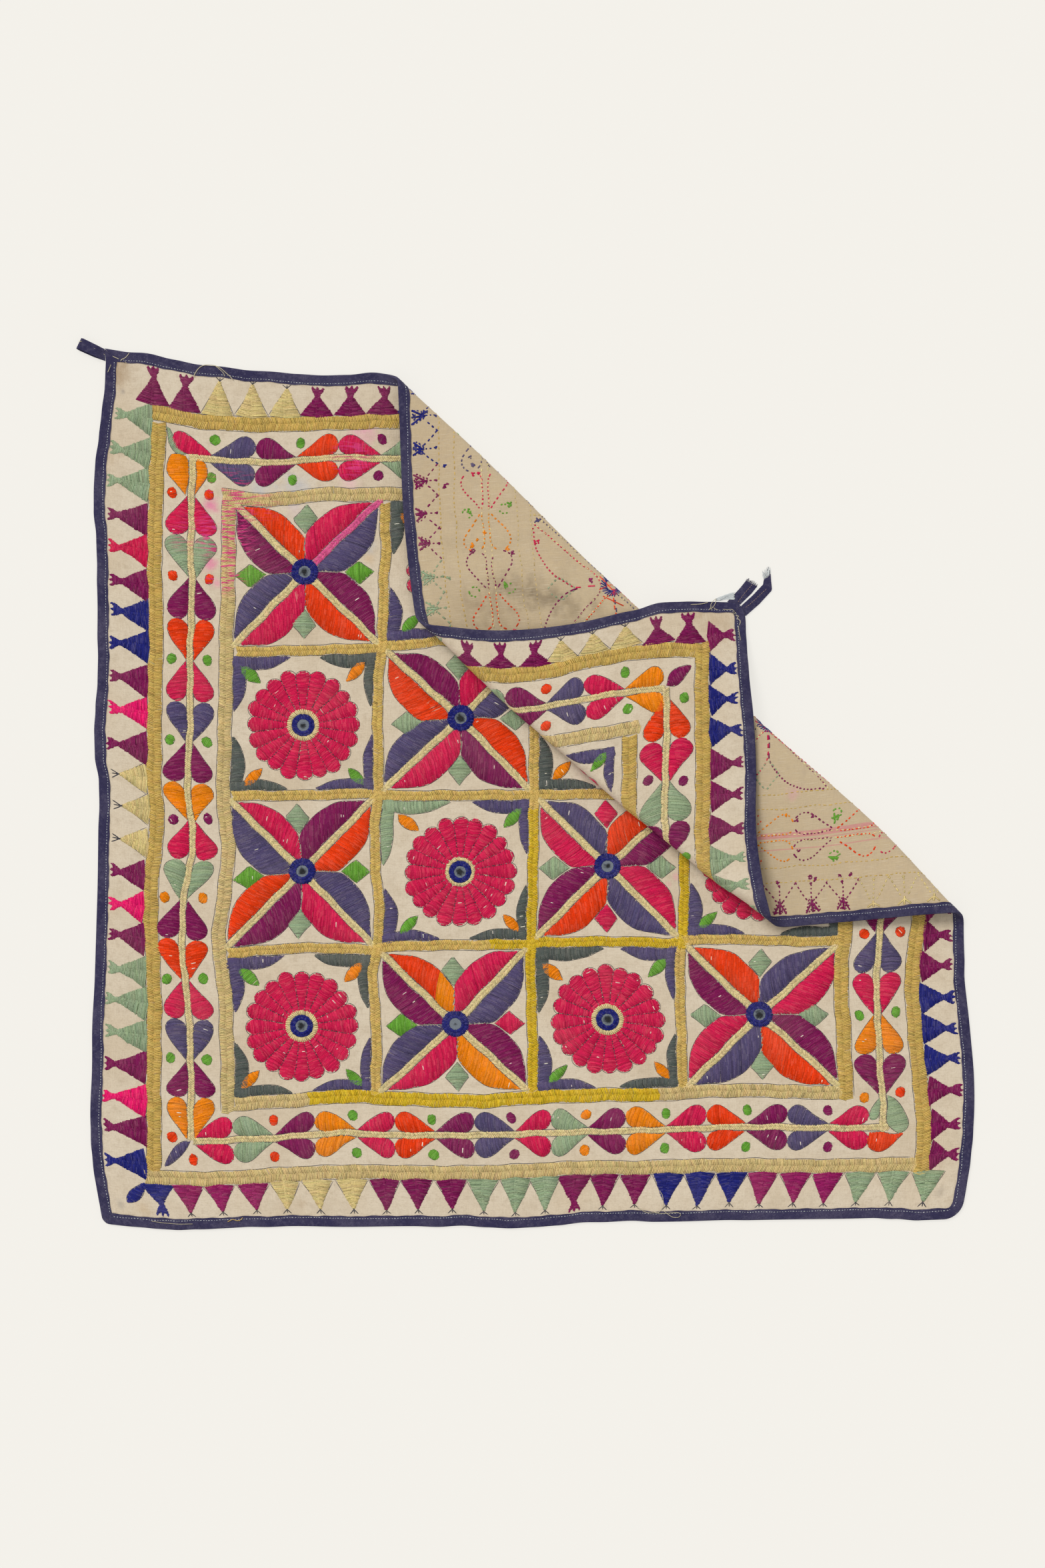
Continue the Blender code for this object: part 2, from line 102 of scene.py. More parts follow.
# Ground cloth: one square of plain unbleached cotton, uneven because it was cut and stitched by hand.
# Its upper right corner is turned over onto the face, then turned face up again. Everything sewn to it
# is laid out on the flat square, x to the right and y up, with z the height over the cloth's middle
# layer, and fold() lays it in the folded hanging. All of these sizes are in metres.
HALF = 0.475
CLOTH = 0.0015
CUT_EDGE = 0.4735
SIDE_LEFT = (-10, 7, 6, 3, 0, -1, 1, 0, 3, -1, -7)
SIDE_RIGHT = (-8, 9, 8, 0, 0, 3, 6, 9, 18, 22, 21)
SIDE_BOTTOM = (-8, 3, 0, 0, 0, 0, -5, -6, -8, -10, -15)
SIDE_TOP = (12, -3, -13, -15, -15, -15, -21, -33, -28, -14, -15)
# Finer waves, close to each edge: place along it, and how far out, both in millimetres
RIM_LEFT = chart("""-475 4, -453 3.7, -426 3.4, -399 1.6, -372 -0.1, -319 -1, -265 0.2, -211 -0.8,
    -131 -0.6, -50 -0.2, -24 -1.1, 3 -0.6, 30 3.3, 57 3.3, 83 1.3, 110 -1, 137 -1.2, 164 0, 217 -0.3,
    244 -1.5, 271 -1.5, 298 1.3, 325 2, 352 1.7, 378 -0.6, 405 -2.1, 432 -3.8, 459 -3.2, 475 -1""")
RIM_RIGHT = chart("""-475 3.5, -453 3.4, -426 2.7, -399 1, -372 0, -319 0.2, -265 -1.3, -211 -1.7,
    -185 -0.1, -110 0, 100 0, 140 -3, 200 -3.4, 250 -3.6, 300 -4.2, 340 -4.5, 380 -5.2, 407 -4.5,
    434 -3.5, 455 -2.4, 475 -2""")
RIM_BOTTOM = chart("""-475 4, -454 3.7, -427 2.5, -400 1.3, -373 -0.9, -346 -1.5, -320 -1.7, -293 -0.4,
    -266 -1, -212 -0.3, -132 -1.1, -105 -0.3, -78 -1.8, -51 -0.2, -25 0.9, 2 0, 29 -0.7, 56 -2.2,
    83 -1.1, 110 -1.7, 136 -0.2, 217 -1.3, 244 -0.6, 378 -0.1, 404 2, 431 5.1, 458 5.4, 475 5""")
RIM_TOP = chart("""-475 0, -454 -0.1, -427 2.4, -400 0.1, -373 -1.8, -346 -0.8, -320 -1.8, -293 -0.9,
    -266 -2, -239 -2.9, -212 -2.1, -185 0.7, -159 -2.1, -140 0, 340 0, 355 -0.6, 381 2.6, 408 1.6,
    435 0.4, 461 -0.7, 475 0""")
ROUND_CORNERS = ((-1, -1, 0.008), (1, -1, 0.018), (1, 1, 0.016))
FOLD_1_ANGLE = -43.5
FOLD_1_EDGE = 0.2275
# Place along the fold, radius of the roll, bulge of its edge
FOLD_1 = ((-0.45, 0.0095, 0.0000), (-0.30, 0.0080, 0.0018), (-0.11, 0.0080, -0.0018),
          (0.12, 0.0080, 0.0006), (0.30, 0.0080, 0.0062), (0.45, 0.0095, -0.0010))
FOLD_2_ANGLE = -41.6
# Place along the fold, radius of the roll, distance of its edge
FOLD_2 = ((-0.20, 0.0085, 0.0600), (-0.08, 0.0085, 0.0553), (0.06, 0.0090, 0.0560),
          (0.18, 0.0105, 0.0605), (0.30, 0.0125, 0.0700))
LAYER_2_RISE = 0.0065
LAYER_3_RISE = 0.0050
SETTLE = 0.120
DROP_LENGTH = 0.078
RIPPLE = 0.0008
RIPPLE_LENGTH = 0.230
EDGE_LIFT = 0.0010
LIFT_FLAT = 0.0140
LIFT_END = 0.0550
PUCKER = 0.0008                     # how far the stitched cloth puckers up
# Middles of the mirrors in millimetres, four to a row, from the top left: the cloth is flat under each
MIRRORS = (
    ((-249.7, 253.4), (-80.0, 256.0), (88.0, 250.0), (252.0, 256.0)),
    ((-250.3, 83.0), (-79.0, 91.3), (86.0, 92.0), (250.0, 90.0)),
    ((-250.9, -79.4), (-78.1, -79.7), (83.1, -74.0), (249.0, -72.0)),
    ((-248.7, -251.5), (-82.2, -248.7), (82.8, -246.2), (247.8, -239.7)),
)
# Soft creases, in millimetres: from x, y to x, y, half width, rise (a trough if negative)
CREASES = chart("""45 342 74 314 8 2, 74 314 108 304 8 2.2, 70 296 104 270 13 -1.6, 22 430 25 340 6 1.1,
    35 425 36 352 7 -1, 62 440 66 372 8 0.8, -46 452 -34 385 14 -1.1, -20 440 -12 360 10 0.8,
    96 440 88 375 7 -0.8, 428 -14 462 -11 6 1.4, 398 4 424 -16 8 1.4, 455 96 458 -4 6 0.9,
    404 112 446 104 8 0.8, 440 -50 400 -58 9 0.7, 300 20 338 -12 10 -0.8, -452 250 -440 180 9 0.7,
    -450 -60 -436 -130 10 0.8, -300 -446 -230 -436 8 0.8, 20 -448 110 -440 9 -0.7,
    300 -440 380 -452 8 0.8, -130 150 -112 110 10 0.8, -60 -170 40 -168 10 0.6,
    380 -250 400 -330 12 0.7, -320 -60 -300 -130 10 0.6, -205 310 -190 250 9 0.6, -395 60 -350 40 8 0.5,
    130 -300 150 -380 12 -0.6""")


def ease(x):
    """Smooth step from 0 to 1."""
    x = np.clip(x, 0.0, 1.0)
    return x * x * (3.0 - 2.0 * x)


def spline(a, b, c, d, f):
    """The curve from b to c, at the share f, that also heeds the points a and d before and after them."""
    return 0.5 * (2 * b + (c - a) * f + (2 * a - 5 * b + 4 * c - d) * f ** 2
                  + (3 * b - a - 3 * c + d) * f ** 3)


def side_curve(values, at):
    """Smooth curve through evenly spaced millimetres along a side, with at from -1 to 1."""
    values = np.asarray(values, float) * 0.001
    x = (np.clip(at, -1, 1) + 1) / 2 * (len(values) - 1)
    i = np.clip(np.floor(x).astype(int), 0, len(values) - 2)
    f = x - i
    ends = np.concatenate([[2 * values[0] - values[1]], values, [2 * values[-1] - values[-2]]])
    return spline(ends[i], ends[i + 1], ends[i + 2], ends[i + 3], f)


def between(table, column, at):
    """Column of a table at the places given in its first column, smoothed between its rows."""
    places = np.array([row[0] for row in table])
    values = np.array([row[column] for row in table])
    i = np.clip(np.searchsorted(places, at) - 1, 0, len(places) - 2)
    f = ease((at - places[i]) / (places[i + 1] - places[i]))
    return values[i] * (1 - f) + values[i + 1] * f


def heading(degrees):
    return np.array([np.cos(np.radians(degrees)), np.sin(np.radians(degrees))])


ALONG_1, ALONG_2 = heading(FOLD_1_ANGLE), heading(FOLD_2_ANGLE)
ACROSS_1, ACROSS_2 = heading(FOLD_1_ANGLE + 90), heading(FOLD_2_ANGLE + 90)


def uneven(flat):
    """Place on the true square to the same place on the hand-made, uneven one."""
    rounded = flat.copy()
    for side_x, side_y, radius in ROUND_CORNERS:
        into = flat * (side_x, side_y) - (HALF - radius)
        near = np.all(into > 0, axis=1)
        shrink = np.max(into[near], axis=1) / np.linalg.norm(into[near], axis=1) - 1
        rounded[near] += into[near] * shrink[:, None] * (side_x, side_y)
    s = np.clip(rounded[:, 0] / HALF, -1.2, 1.2)
    t = np.clip(rounded[:, 1] / HALF, -1.2, 1.2)
    x = rounded[:, 0] - (1 - s) / 2 * side_curve(SIDE_LEFT, t) + (1 + s) / 2 * side_curve(SIDE_RIGHT, t)
    y = rounded[:, 1] - (1 - t) / 2 * side_curve(SIDE_BOTTOM, s) + (1 + t) / 2 * side_curve(SIDE_TOP, s)
    for at, along, value, low, high in ((s, t, x, RIM_LEFT, RIM_RIGHT), (t, s, y, RIM_BOTTOM, RIM_TOP)):
        out = np.where(at < 0, -between(low, 1, along * 475), between(high, 1, along * 475)) * 0.001
        value += out * ease((np.abs(at) - 0.86) / 0.14)
    return np.stack([x, y], axis=1)


def pucker(flat):
    """Soft lumps that hand stitching draws up in the cloth, from 0 to 1."""
    x, y = flat[:, 0], flat[:, 1]
    waves = (np.sin(61 * x + 23 * y + 0.4) + np.sin(-37 * x + 71 * y + 1.9)
             + 0.8 * np.sin(118 * x - 66 * y + 3.1) + 0.7 * np.sin(83 * x + 131 * y + 5.0))
    return 0.5 + waves / 7.0


def creases(flat):
    """Rise of the soft creases: each is highest along its line, and fades out to its sides and ends."""
    rise = np.zeros(len(flat))
    for x0, y0, x1, y1, width, height in CREASES:
        start, run = np.array([x0, y0]) * 0.001, np.array([x1 - x0, y1 - y0]) * 0.001
        length = np.linalg.norm(run)
        along = (flat - start) @ run / length
        bow = 0.08 * length * np.sin(pi * np.clip(along / length, 0, 1))
        off = (flat - start) @ np.array([-run[1], run[0]]) / length - bow
        beyond = np.maximum(np.maximum(-along, along - length), 0)
        rise += height * 0.001 * np.exp(-(off ** 2 + beyond ** 2) / (2 * (width * 0.001) ** 2))
    return rise


def middle_layer(flat):
    """Where the middle of the cloth lies, for places on the flat square."""
    sheet = uneven(flat)
    along = sheet @ ALONG_1
    radius = between(FOLD_1, 1, along)
    start = FOLD_1_EDGE - radius
    turned = sheet @ ACROSS_1 - start
    angle = np.clip(turned / radius, 0, pi)
    past = np.maximum(turned - pi * radius, 0)
    across = start + np.where(turned < 0, turned, radius * np.sin(angle)) - past
    across += between(FOLD_1, 2, along) * ease(1 - np.abs(turned - pi * radius / 2) / 0.06)
    height = radius * (1 - np.cos(angle))
    place = along[:, None] * ALONG_1 + across[:, None] * ACROSS_1

    along_2 = place @ ALONG_2
    radius_2 = between(FOLD_2, 1, along_2)
    start_2 = between(FOLD_2, 2, along_2) + radius_2
    turned_2 = np.where(past > 0, start_2 - place @ ACROSS_2, -1.0)
    angle_2 = np.clip(turned_2 / radius_2, 0, pi)
    past_2 = np.maximum(turned_2 - pi * radius_2, 0)
    across_2 = np.where(turned_2 > 0, start_2 - radius_2 * np.sin(angle_2) + past_2, place @ ACROSS_2)
    place = along_2[:, None] * ALONG_2 + across_2[:, None] * ACROSS_2

    along_now = place @ ALONG_1
    inside = FOLD_1_EDGE - place @ ACROSS_1
    radius = between(FOLD_1, 1, along_now)
    settled = ease((inside - radius) / SETTLE)
    second = 2 * radius + (LAYER_2_RISE - 2 * radius) * settled
    second += RIPPLE * np.sin(2 * pi * along_now / RIPPLE_LENGTH + 0.6) * settled
    height = np.where(past > 0, second, height)
    third = radius_2 * (1 - np.cos(angle_2)) + (LAYER_3_RISE - 2 * radius_2) * ease(past_2 / SETTLE)
    height = (height + third) * (1 - np.where(past_2 > 0, ease(-inside / DROP_LENGTH), 0.0))
    edge_distance = HALF - np.max(np.abs(flat), axis=1)
    height += EDGE_LIFT * ease((LIFT_END - edge_distance) / (LIFT_END - LIFT_FLAT))
    away = np.full(len(flat), 1.0)
    for middle in np.reshape(MIRRORS, (16, 2)) * 0.001:
        away = np.minimum(away, np.linalg.norm(flat - middle, axis=1))
    loose = ease((edge_distance - 0.004) / 0.03) * ease((away - 0.012) / 0.02)
    height += (PUCKER * pucker(flat) + creases(flat)) * loose
    height = np.maximum(height, 0.0)
    return np.concatenate([place, (height + CLOTH / 2)[:, None]], axis=1)


def fold(points):
    """Flat places with a height off the cloth's middle layer to the same places in the folded hanging."""
    flat = points[:, :2]
    step = 0.0002
    right = middle_layer(flat + [step, 0]) - middle_layer(flat - [step, 0])
    up = middle_layer(flat + [0, step]) - middle_layer(flat - [0, step])
    face = np.cross(right, up)
    face /= np.linalg.norm(face, axis=1)[:, None]
    return middle_layer(flat) + face * points[:, 2:3], face


def lay_in_fold(mesh):
    """Keep a flat mesh's own places as the attribute "flat", for its material, and then fold it."""
    flat = np.empty(len(mesh.vertices) * 3)
    mesh.vertices.foreach_get("co", flat)
    mesh.attributes.new("flat", "FLOAT_VECTOR", "POINT").data.foreach_set("vector", flat)
    folded, _ = fold(flat.reshape(-1, 3))
    mesh.vertices.foreach_set("co", folded.ravel())
    mesh.update()


def solid_mesh(bm, name):
    """A smooth mesh with its faces outward."""
    bmesh.ops.recalc_face_normals(bm, faces=bm.faces)
    if bm.calc_volume(signed=True) < 0:
        bmesh.ops.reverse_faces(bm, faces=bm.faces)
    mesh = bpy.data.meshes.new(name)
    bm.to_mesh(mesh)
    bm.free()
    mesh.polygons.foreach_set("use_smooth", [True] * len(mesh.polygons))
    return mesh


def tube_mesh(bm, name):
    """The same, for a grid rolled up into a tube: its sides are joined and its ends closed."""
    bmesh.ops.remove_doubles(bm, verts=bm.verts, dist=0.00001)
    bmesh.ops.holes_fill(bm, edges=[edge for edge in bm.edges if edge.is_boundary])
    bmesh.ops.triangulate(bm, faces=[face for face in bm.faces if len(face.verts) > 4])
    return solid_mesh(bm, name)


# The cloth's mesh runs in line with the folds: close rows around each half roll, wider ones elsewhere
COLUMNS, FLAT_ROWS, ROLL_ROWS, SECOND_ROWS, THIRD_ROWS = 240, 150, 20, 46, 96
ROWS = FLAT_ROWS + 2 * ROLL_ROWS + SECOND_ROWS + THIRD_ROWS
lines = np.linspace(-0.72, 0.72, COLUMNS + 1)
rows = []
for along in lines:
    radius = between(FOLD_1, 1, np.array([along]))[0]
    reach = FOLD_1_EDGE - radius
    roll_end = reach + pi * radius
    walk = roll_end + np.linspace(0.0, 0.45, 1401)
    place = along * ALONG_1 + (reach - (walk - roll_end))[:, None] * ACROSS_1
    radius_2 = between(FOLD_2, 1, place @ ALONG_2)
    turned_2 = between(FOLD_2, 2, place @ ALONG_2) + radius_2 - place @ ACROSS_2
    begin = np.interp(0.0, turned_2, walk)
    end = np.interp(0.0, turned_2 - pi * radius_2, walk)
    rows.append(np.concatenate([
        np.linspace(-0.72, reach, FLAT_ROWS + 1), np.linspace(reach, roll_end, ROLL_ROWS + 1)[1:],
        np.linspace(roll_end, begin, SECOND_ROWS + 1)[1:], np.linspace(begin, end, ROLL_ROWS + 1)[1:],
        np.linspace(end, 0.72, THIRD_ROWS + 1)[1:]]))
rows = np.array(rows)

bm = bmesh.new()
bmesh.ops.create_grid(bm, x_segments=COLUMNS, y_segments=ROWS, size=1.0)
column = [round((vert.co.x + 1) / 2 * COLUMNS) for vert in bm.verts]
row = [round((vert.co.y + 1) / 2 * ROWS) for vert in bm.verts]
sheet = lines[column][:, None] * ALONG_1 + rows[column, row][:, None] * ACROSS_1
flat = sheet.copy()
for _ in range(12):
    flat += sheet - uneven(flat)
for vert, spot in zip(bm.verts, flat):
    vert.co = (*spot, -CLOTH / 2)
for side in (Vector((1, 0, 0)), Vector((-1, 0, 0)), Vector((0, 1, 0)), Vector((0, -1, 0))):
    bmesh.ops.bisect_plane(bm, geom=bm.verts[:] + bm.edges[:] + bm.faces[:], plane_co=side * CUT_EDGE,
                           plane_no=side, clear_outer=True, dist=0.0002)
lifted = bmesh.ops.extrude_face_region(bm, geom=bm.faces[:])["geom"]
bmesh.ops.translate(bm, verts=[item for item in lifted if isinstance(item, bmesh.types.BMVert)],
                    vec=(0, 0, CLOTH))
cloth_mesh = solid_mesh(bm, "ground_cotton")
lay_in_fold(cloth_mesh)
cloth_mesh.set_sharp_from_angle(angle=1.0)


def linear(colour):
    """A colour of eight-bit values to linear light."""
    value = np.asarray(colour, float) / 255
    return np.where(value <= 0.04045, value / 12.92, ((value + 0.055) / 1.055) ** 2.4)


def rgb(*colour):
    return (*linear(colour), 1)


class Nodes:
    """Small helper that adds and joins the nodes of one material."""

    def __init__(self, name, inputs):
        self.material = bpy.data.materials.new(name)
        self.material.use_nodes = True
        self.tree = self.material.node_tree
        self.shader = self.tree.nodes["Principled BSDF"]
        for key, value in inputs.items():
            self.shader.inputs[key].default_value = value

    def node(self, kind, values=None, **settings):
        made = self.tree.nodes.new(kind)
        for key, value in settings.items():
            setattr(made, key, value)
        for key, value in (values or {}).items():
            if hasattr(value, "links"):
                self.tree.links.new(value, made.inputs[key])
            else:
                made.inputs[key].default_value = value
        return made

    def attribute(self, name, kind="Vector"):
        return self.node("ShaderNodeAttribute", attribute_name=name).outputs[kind]

    def stretched(self, place, scale):
        return self.node("ShaderNodeMapping", {0: place, 3: scale}).outputs[0]

    def from_point(self, place, x, y):
        """How far a place is from a point given in millimetres."""
        return self.node("ShaderNodeVectorMath", {0: place, 1: (x * 0.001, y * 0.001, 0)},
                         operation="DISTANCE").outputs["Value"]

    def maths(self, operation, first, second=0.0, third=0.0):
        return self.node("ShaderNodeMath", {0: first, 1: second, 2: third},
                         operation=operation).outputs[0]

    def mix(self, share, first, second, blend="MIX"):
        made = self.node("ShaderNodeMix", {0: share, 6: first, 7: second},
                         data_type="RGBA", blend_type=blend)
        return made.outputs[2]

    def noise(self, place, scale, detail=2.0, distortion=0.0):
        made = self.node("ShaderNodeTexNoise", {"Vector": place, "Scale": scale, "Detail": detail,
                                                "Distortion": distortion})
        return made.outputs[0]

    def spread(self, value, low, high, to_low=0.0, to_high=1.0):
        made = self.node("ShaderNodeMapRange", {0: value, 1: low, 2: high, 3: to_low, 4: to_high},
                         interpolation_type="SMOOTHSTEP")
        return made.outputs[0]

    def link(self, output, socket):
        self.tree.links.new(output, self.shader.inputs[socket])

    def bump(self, height, strength, distance):
        made = self.node("ShaderNodeBump", {"Height": height, "Strength": strength, "Distance": distance})
        self.link(made.outputs[0], "Normal")


FRONT_COTTON = (216, 202, 180)
# The back is darker than the front: partly the cloth's own tone, partly painted shade on the turned-over
# corner
BACK_COTTON = (196, 176, 143)
# Marks on the cotton, and the painted soft shadow on its back beside the flap: x and y in millimetres, how
# far they spread, colour, strength
STAINS_AND_SHADOW = (
    (-462, 452, 28, (146, 112, 72), 0.70), (-454, 431, 5, (96, 96, 110), 0.55),
    (-460, 360, 14, (170, 140, 100), 0.30), (-352, 322, 15, (228, 96, 160), 0.75),
    (-352, 256, 13, (230, 90, 160), 0.85), (-345, 236, 10, (232, 120, 168), 0.55),
    (-336, 300, 22, (226, 150, 175), 0.35), (-192, 410, 24, (238, 150, 190), 0.55),
    (-205, 352, 20, (238, 175, 200), 0.40), (-262, 348, 26, (168, 182, 205), 0.45),
    (-300, 345, 22, (168, 182, 205), 0.40), (-262, 322, 18, (205, 180, 190), 0.40),
    (-180, 282, 12, (160, 175, 200), 0.35), (-181, 268, 9, (205, 165, 110), 0.45),
    (150, -92, 6, (232, 130, 160), 0.50), (158, -82, 7, (232, 140, 165), 0.45),
    (448, -446, 9, (110, 100, 90), 0.35), (440, -432, 7, (110, 105, 100), 0.30),
    (-452, -452, 8, (100, 100, 105), 0.35), (-430, -456, 14, (180, 145, 95), 0.35),
    (-255, -450, 10, (170, 140, 100), 0.30), (330, 60, 12, (225, 150, 175), 0.40),
    # The next eight are painted shadow on the back, in the valley beside the flap's edge
    (98, 385, 40, (138, 118, 92), 0.45), (100, 412, 30, (138, 118, 92), 0.35), (76, 376, 22, (128, 110,
                                                                                              86), 0.30),
    (84, 356, 25, (104, 88, 68), 0.50), (92, 336, 25, (96, 80, 62), 0.55), (99, 317, 22, (96, 80, 62),
                                                                            0.55),
    (106, 299, 19, (104, 88, 68), 0.50), (112, 272, 16, (120, 100, 76), 0.40),
    (440, 446, 44, (178, 150, 116), 0.42), (418, 462, 20, (168, 138, 104), 0.3),
    (312, 345, 7, (150, 112, 72), 0.55), (-318, -468, 8, (176, 120, 66), 0.55),
)
cotton = Nodes("unbleached_cotton", {"Roughness": 0.92, "Specular IOR Level": 0.15, "Sheen Weight": 0.12,
                                     "Sheen Roughness": 0.6})
place = cotton.attribute("flat")
parts = cotton.node("ShaderNodeSeparateXYZ", {0: place}).outputs
front = cotton.maths("GREATER_THAN", parts[2], 0.0)
shade = cotton.mix(front, rgb(*BACK_COTTON), rgb(*FRONT_COTTON))
for scale, low, high, dark, strength in (
        (9.0, 0.40, 0.75, (196, 172, 138), 0.40), (34.0, 0.45, 0.75, (190, 172, 146), 0.34),
        (150.0, 0.45, 0.80, (182, 164, 140), 0.38), (620.0, 0.40, 0.80, (176, 158, 132), 0.34)):
    cloud = cotton.spread(cotton.noise(place, scale, 3.0), low, high, 0.0, strength)
    shade = cotton.mix(cloud, shade, rgb(*dark))
# Stains, and the painted shadow beside the flap, mixed into the cotton's colour
for x, y, size, colour, strength in STAINS_AND_SHADOW:
    torn = cotton.maths("MULTIPLY", cotton.noise(place, 90.0, 3.0), size * 0.0012)
    near = cotton.spread(cotton.maths("ADD", cotton.from_point(place, x, y), torn), size * 0.0004, size
                         * 0.0016, strength, 0.0)
    shade = cotton.mix(near, shade, rgb(*colour))
for middle, half, strength in ((0.3752, 0.0031, 0.62), (0.3808, 0.0006, 0.45), (0.3905, 0.0007, 0.45)):
    off = cotton.maths("ABSOLUTE", cotton.maths("SUBTRACT", parts[0], middle))
    stripe = cotton.spread(off, half * 0.8, half * 1.2, strength, 0.0)
    stripe = cotton.maths("MULTIPLY", stripe, cotton.maths("SUBTRACT", 1.0, front))
    shade = cotton.mix(stripe, shade, rgb(204, 112, 126))
slubs = cotton.stretched(place, (60.0, 1600.0, 1.0))
ends_of_yarn = cotton.stretched(place, (1600.0, 60.0, 1.0))
weft, warp = cotton.noise(slubs, 1.0, 2.0), cotton.noise(ends_of_yarn, 1.0, 2.0)
shade = cotton.mix(cotton.spread(weft, 0.50, 0.75, 0.0, 0.30), shade, rgb(178, 160, 132))
shade = cotton.mix(cotton.spread(warp, 0.50, 0.75, 0.0, 0.26), shade, rgb(232, 220, 198))
cotton.link(shade, "Base Color")
lumps = cotton.maths("ADD", cotton.maths("MULTIPLY", cotton.noise(place, 45.0, 3.0), 2.2),
                     cotton.maths("ADD", weft, warp))
cotton.bump(lumps, 0.55, 0.0005)

cloth_mesh.materials.append(cotton.material)
ground = bpy.data.objects.new("ground_cotton", cloth_mesh)
bpy.context.collection.objects.link(ground)
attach(ground, "root")
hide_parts("ground_cloth")

# Outer and inner frames: bands of close slanted stitches, worked in two rows that cross at the middle,
# in ochre cotton floss, with stretches of yellow where the thread ran out. This section also has the
# tools that all the embroidery uses: one stitch, how it is sewn, and how a drawn line is inked.
# Places on the flat square are in millimetres from here on.
THREADS = {
    "crimson": (220, 26, 84), "purple": (136, 22, 90), "slate": (91, 81, 121), "orange": (242, 64, 6),
    "amber": (250, 142, 0), "sage": (158, 178, 142), "green": (108, 170, 56), "spruce": (92, 99, 95),
    "blue": (32, 38, 128), "ochre": (216, 182, 98), "pale": (222, 197, 136), "gold": (224, 190, 106),
    "cream": (234, 214, 158), "yellow": (226, 190, 42), "pink": (246, 22, 116), "straw": (228, 206, 142),
    "stained": (232, 96, 154), "magenta": (160, 28, 102), "ink": (68, 68, 76), "white": (238, 230, 212),
    "worn": (168, 142, 136), "lint": (214, 220, 222), "loose": (206, 196, 168), "tape": (52, 50, 80),
}
stitches = []       # start x, y, z, end x, y, z, width, height, thread, side of the cloth
chance = np.random.RandomState(1)


def stitch(start, end, thread, width=1.55, height=0.45, start_z=0.0, end_z=0.0, side=1):
    stitches.append((start[0], start[1], start_z, end[0], end[1], end_z, width, height, thread, side))


def bar(rings):
    """One stitch, made once: a three-sided bar with so many rings, drawn to a point at each end.
    Gives each corner's place along (-1 and 2 at the points), sideways and up, and the triangles."""
    bm = bmesh.new()
    bmesh.ops.create_cone(bm, cap_ends=True, segments=3, radius1=1, radius2=1, depth=1,
                          matrix=Matrix.Translation((0, 0, 0.5)))
    for ring in range(1, rings - 1):
        bmesh.ops.bisect_plane(bm, geom=bm.verts[:] + bm.edges[:] + bm.faces[:],
                               plane_co=(0, 0, ring / (rings - 1)), plane_no=(0, 0, 1))
    caps = [face for face in bm.faces if abs(face.normal.z) > 0.9]
    for vert in bmesh.ops.poke(bm, faces=caps)["verts"]:
        vert.co = (0, 0, -1 if vert.co.z < 0.6 else 2)
    bmesh.ops.triangulate(bm, faces=bm.faces[:])
    bmesh.ops.recalc_face_normals(bm, faces=bm.faces)
    bm.verts.index_update()
    corners = np.array([(vert.co.z, vert.co.x / 0.866, vert.co.y) for vert in bm.verts])
    triangles = np.array([[vert.index for vert in face.verts] for face in bm.faces])
    bm.free()
    return corners, triangles


SHORT_BAR, LONG_BAR, BENT_BAR = bar(2), bar(3), bar(7)


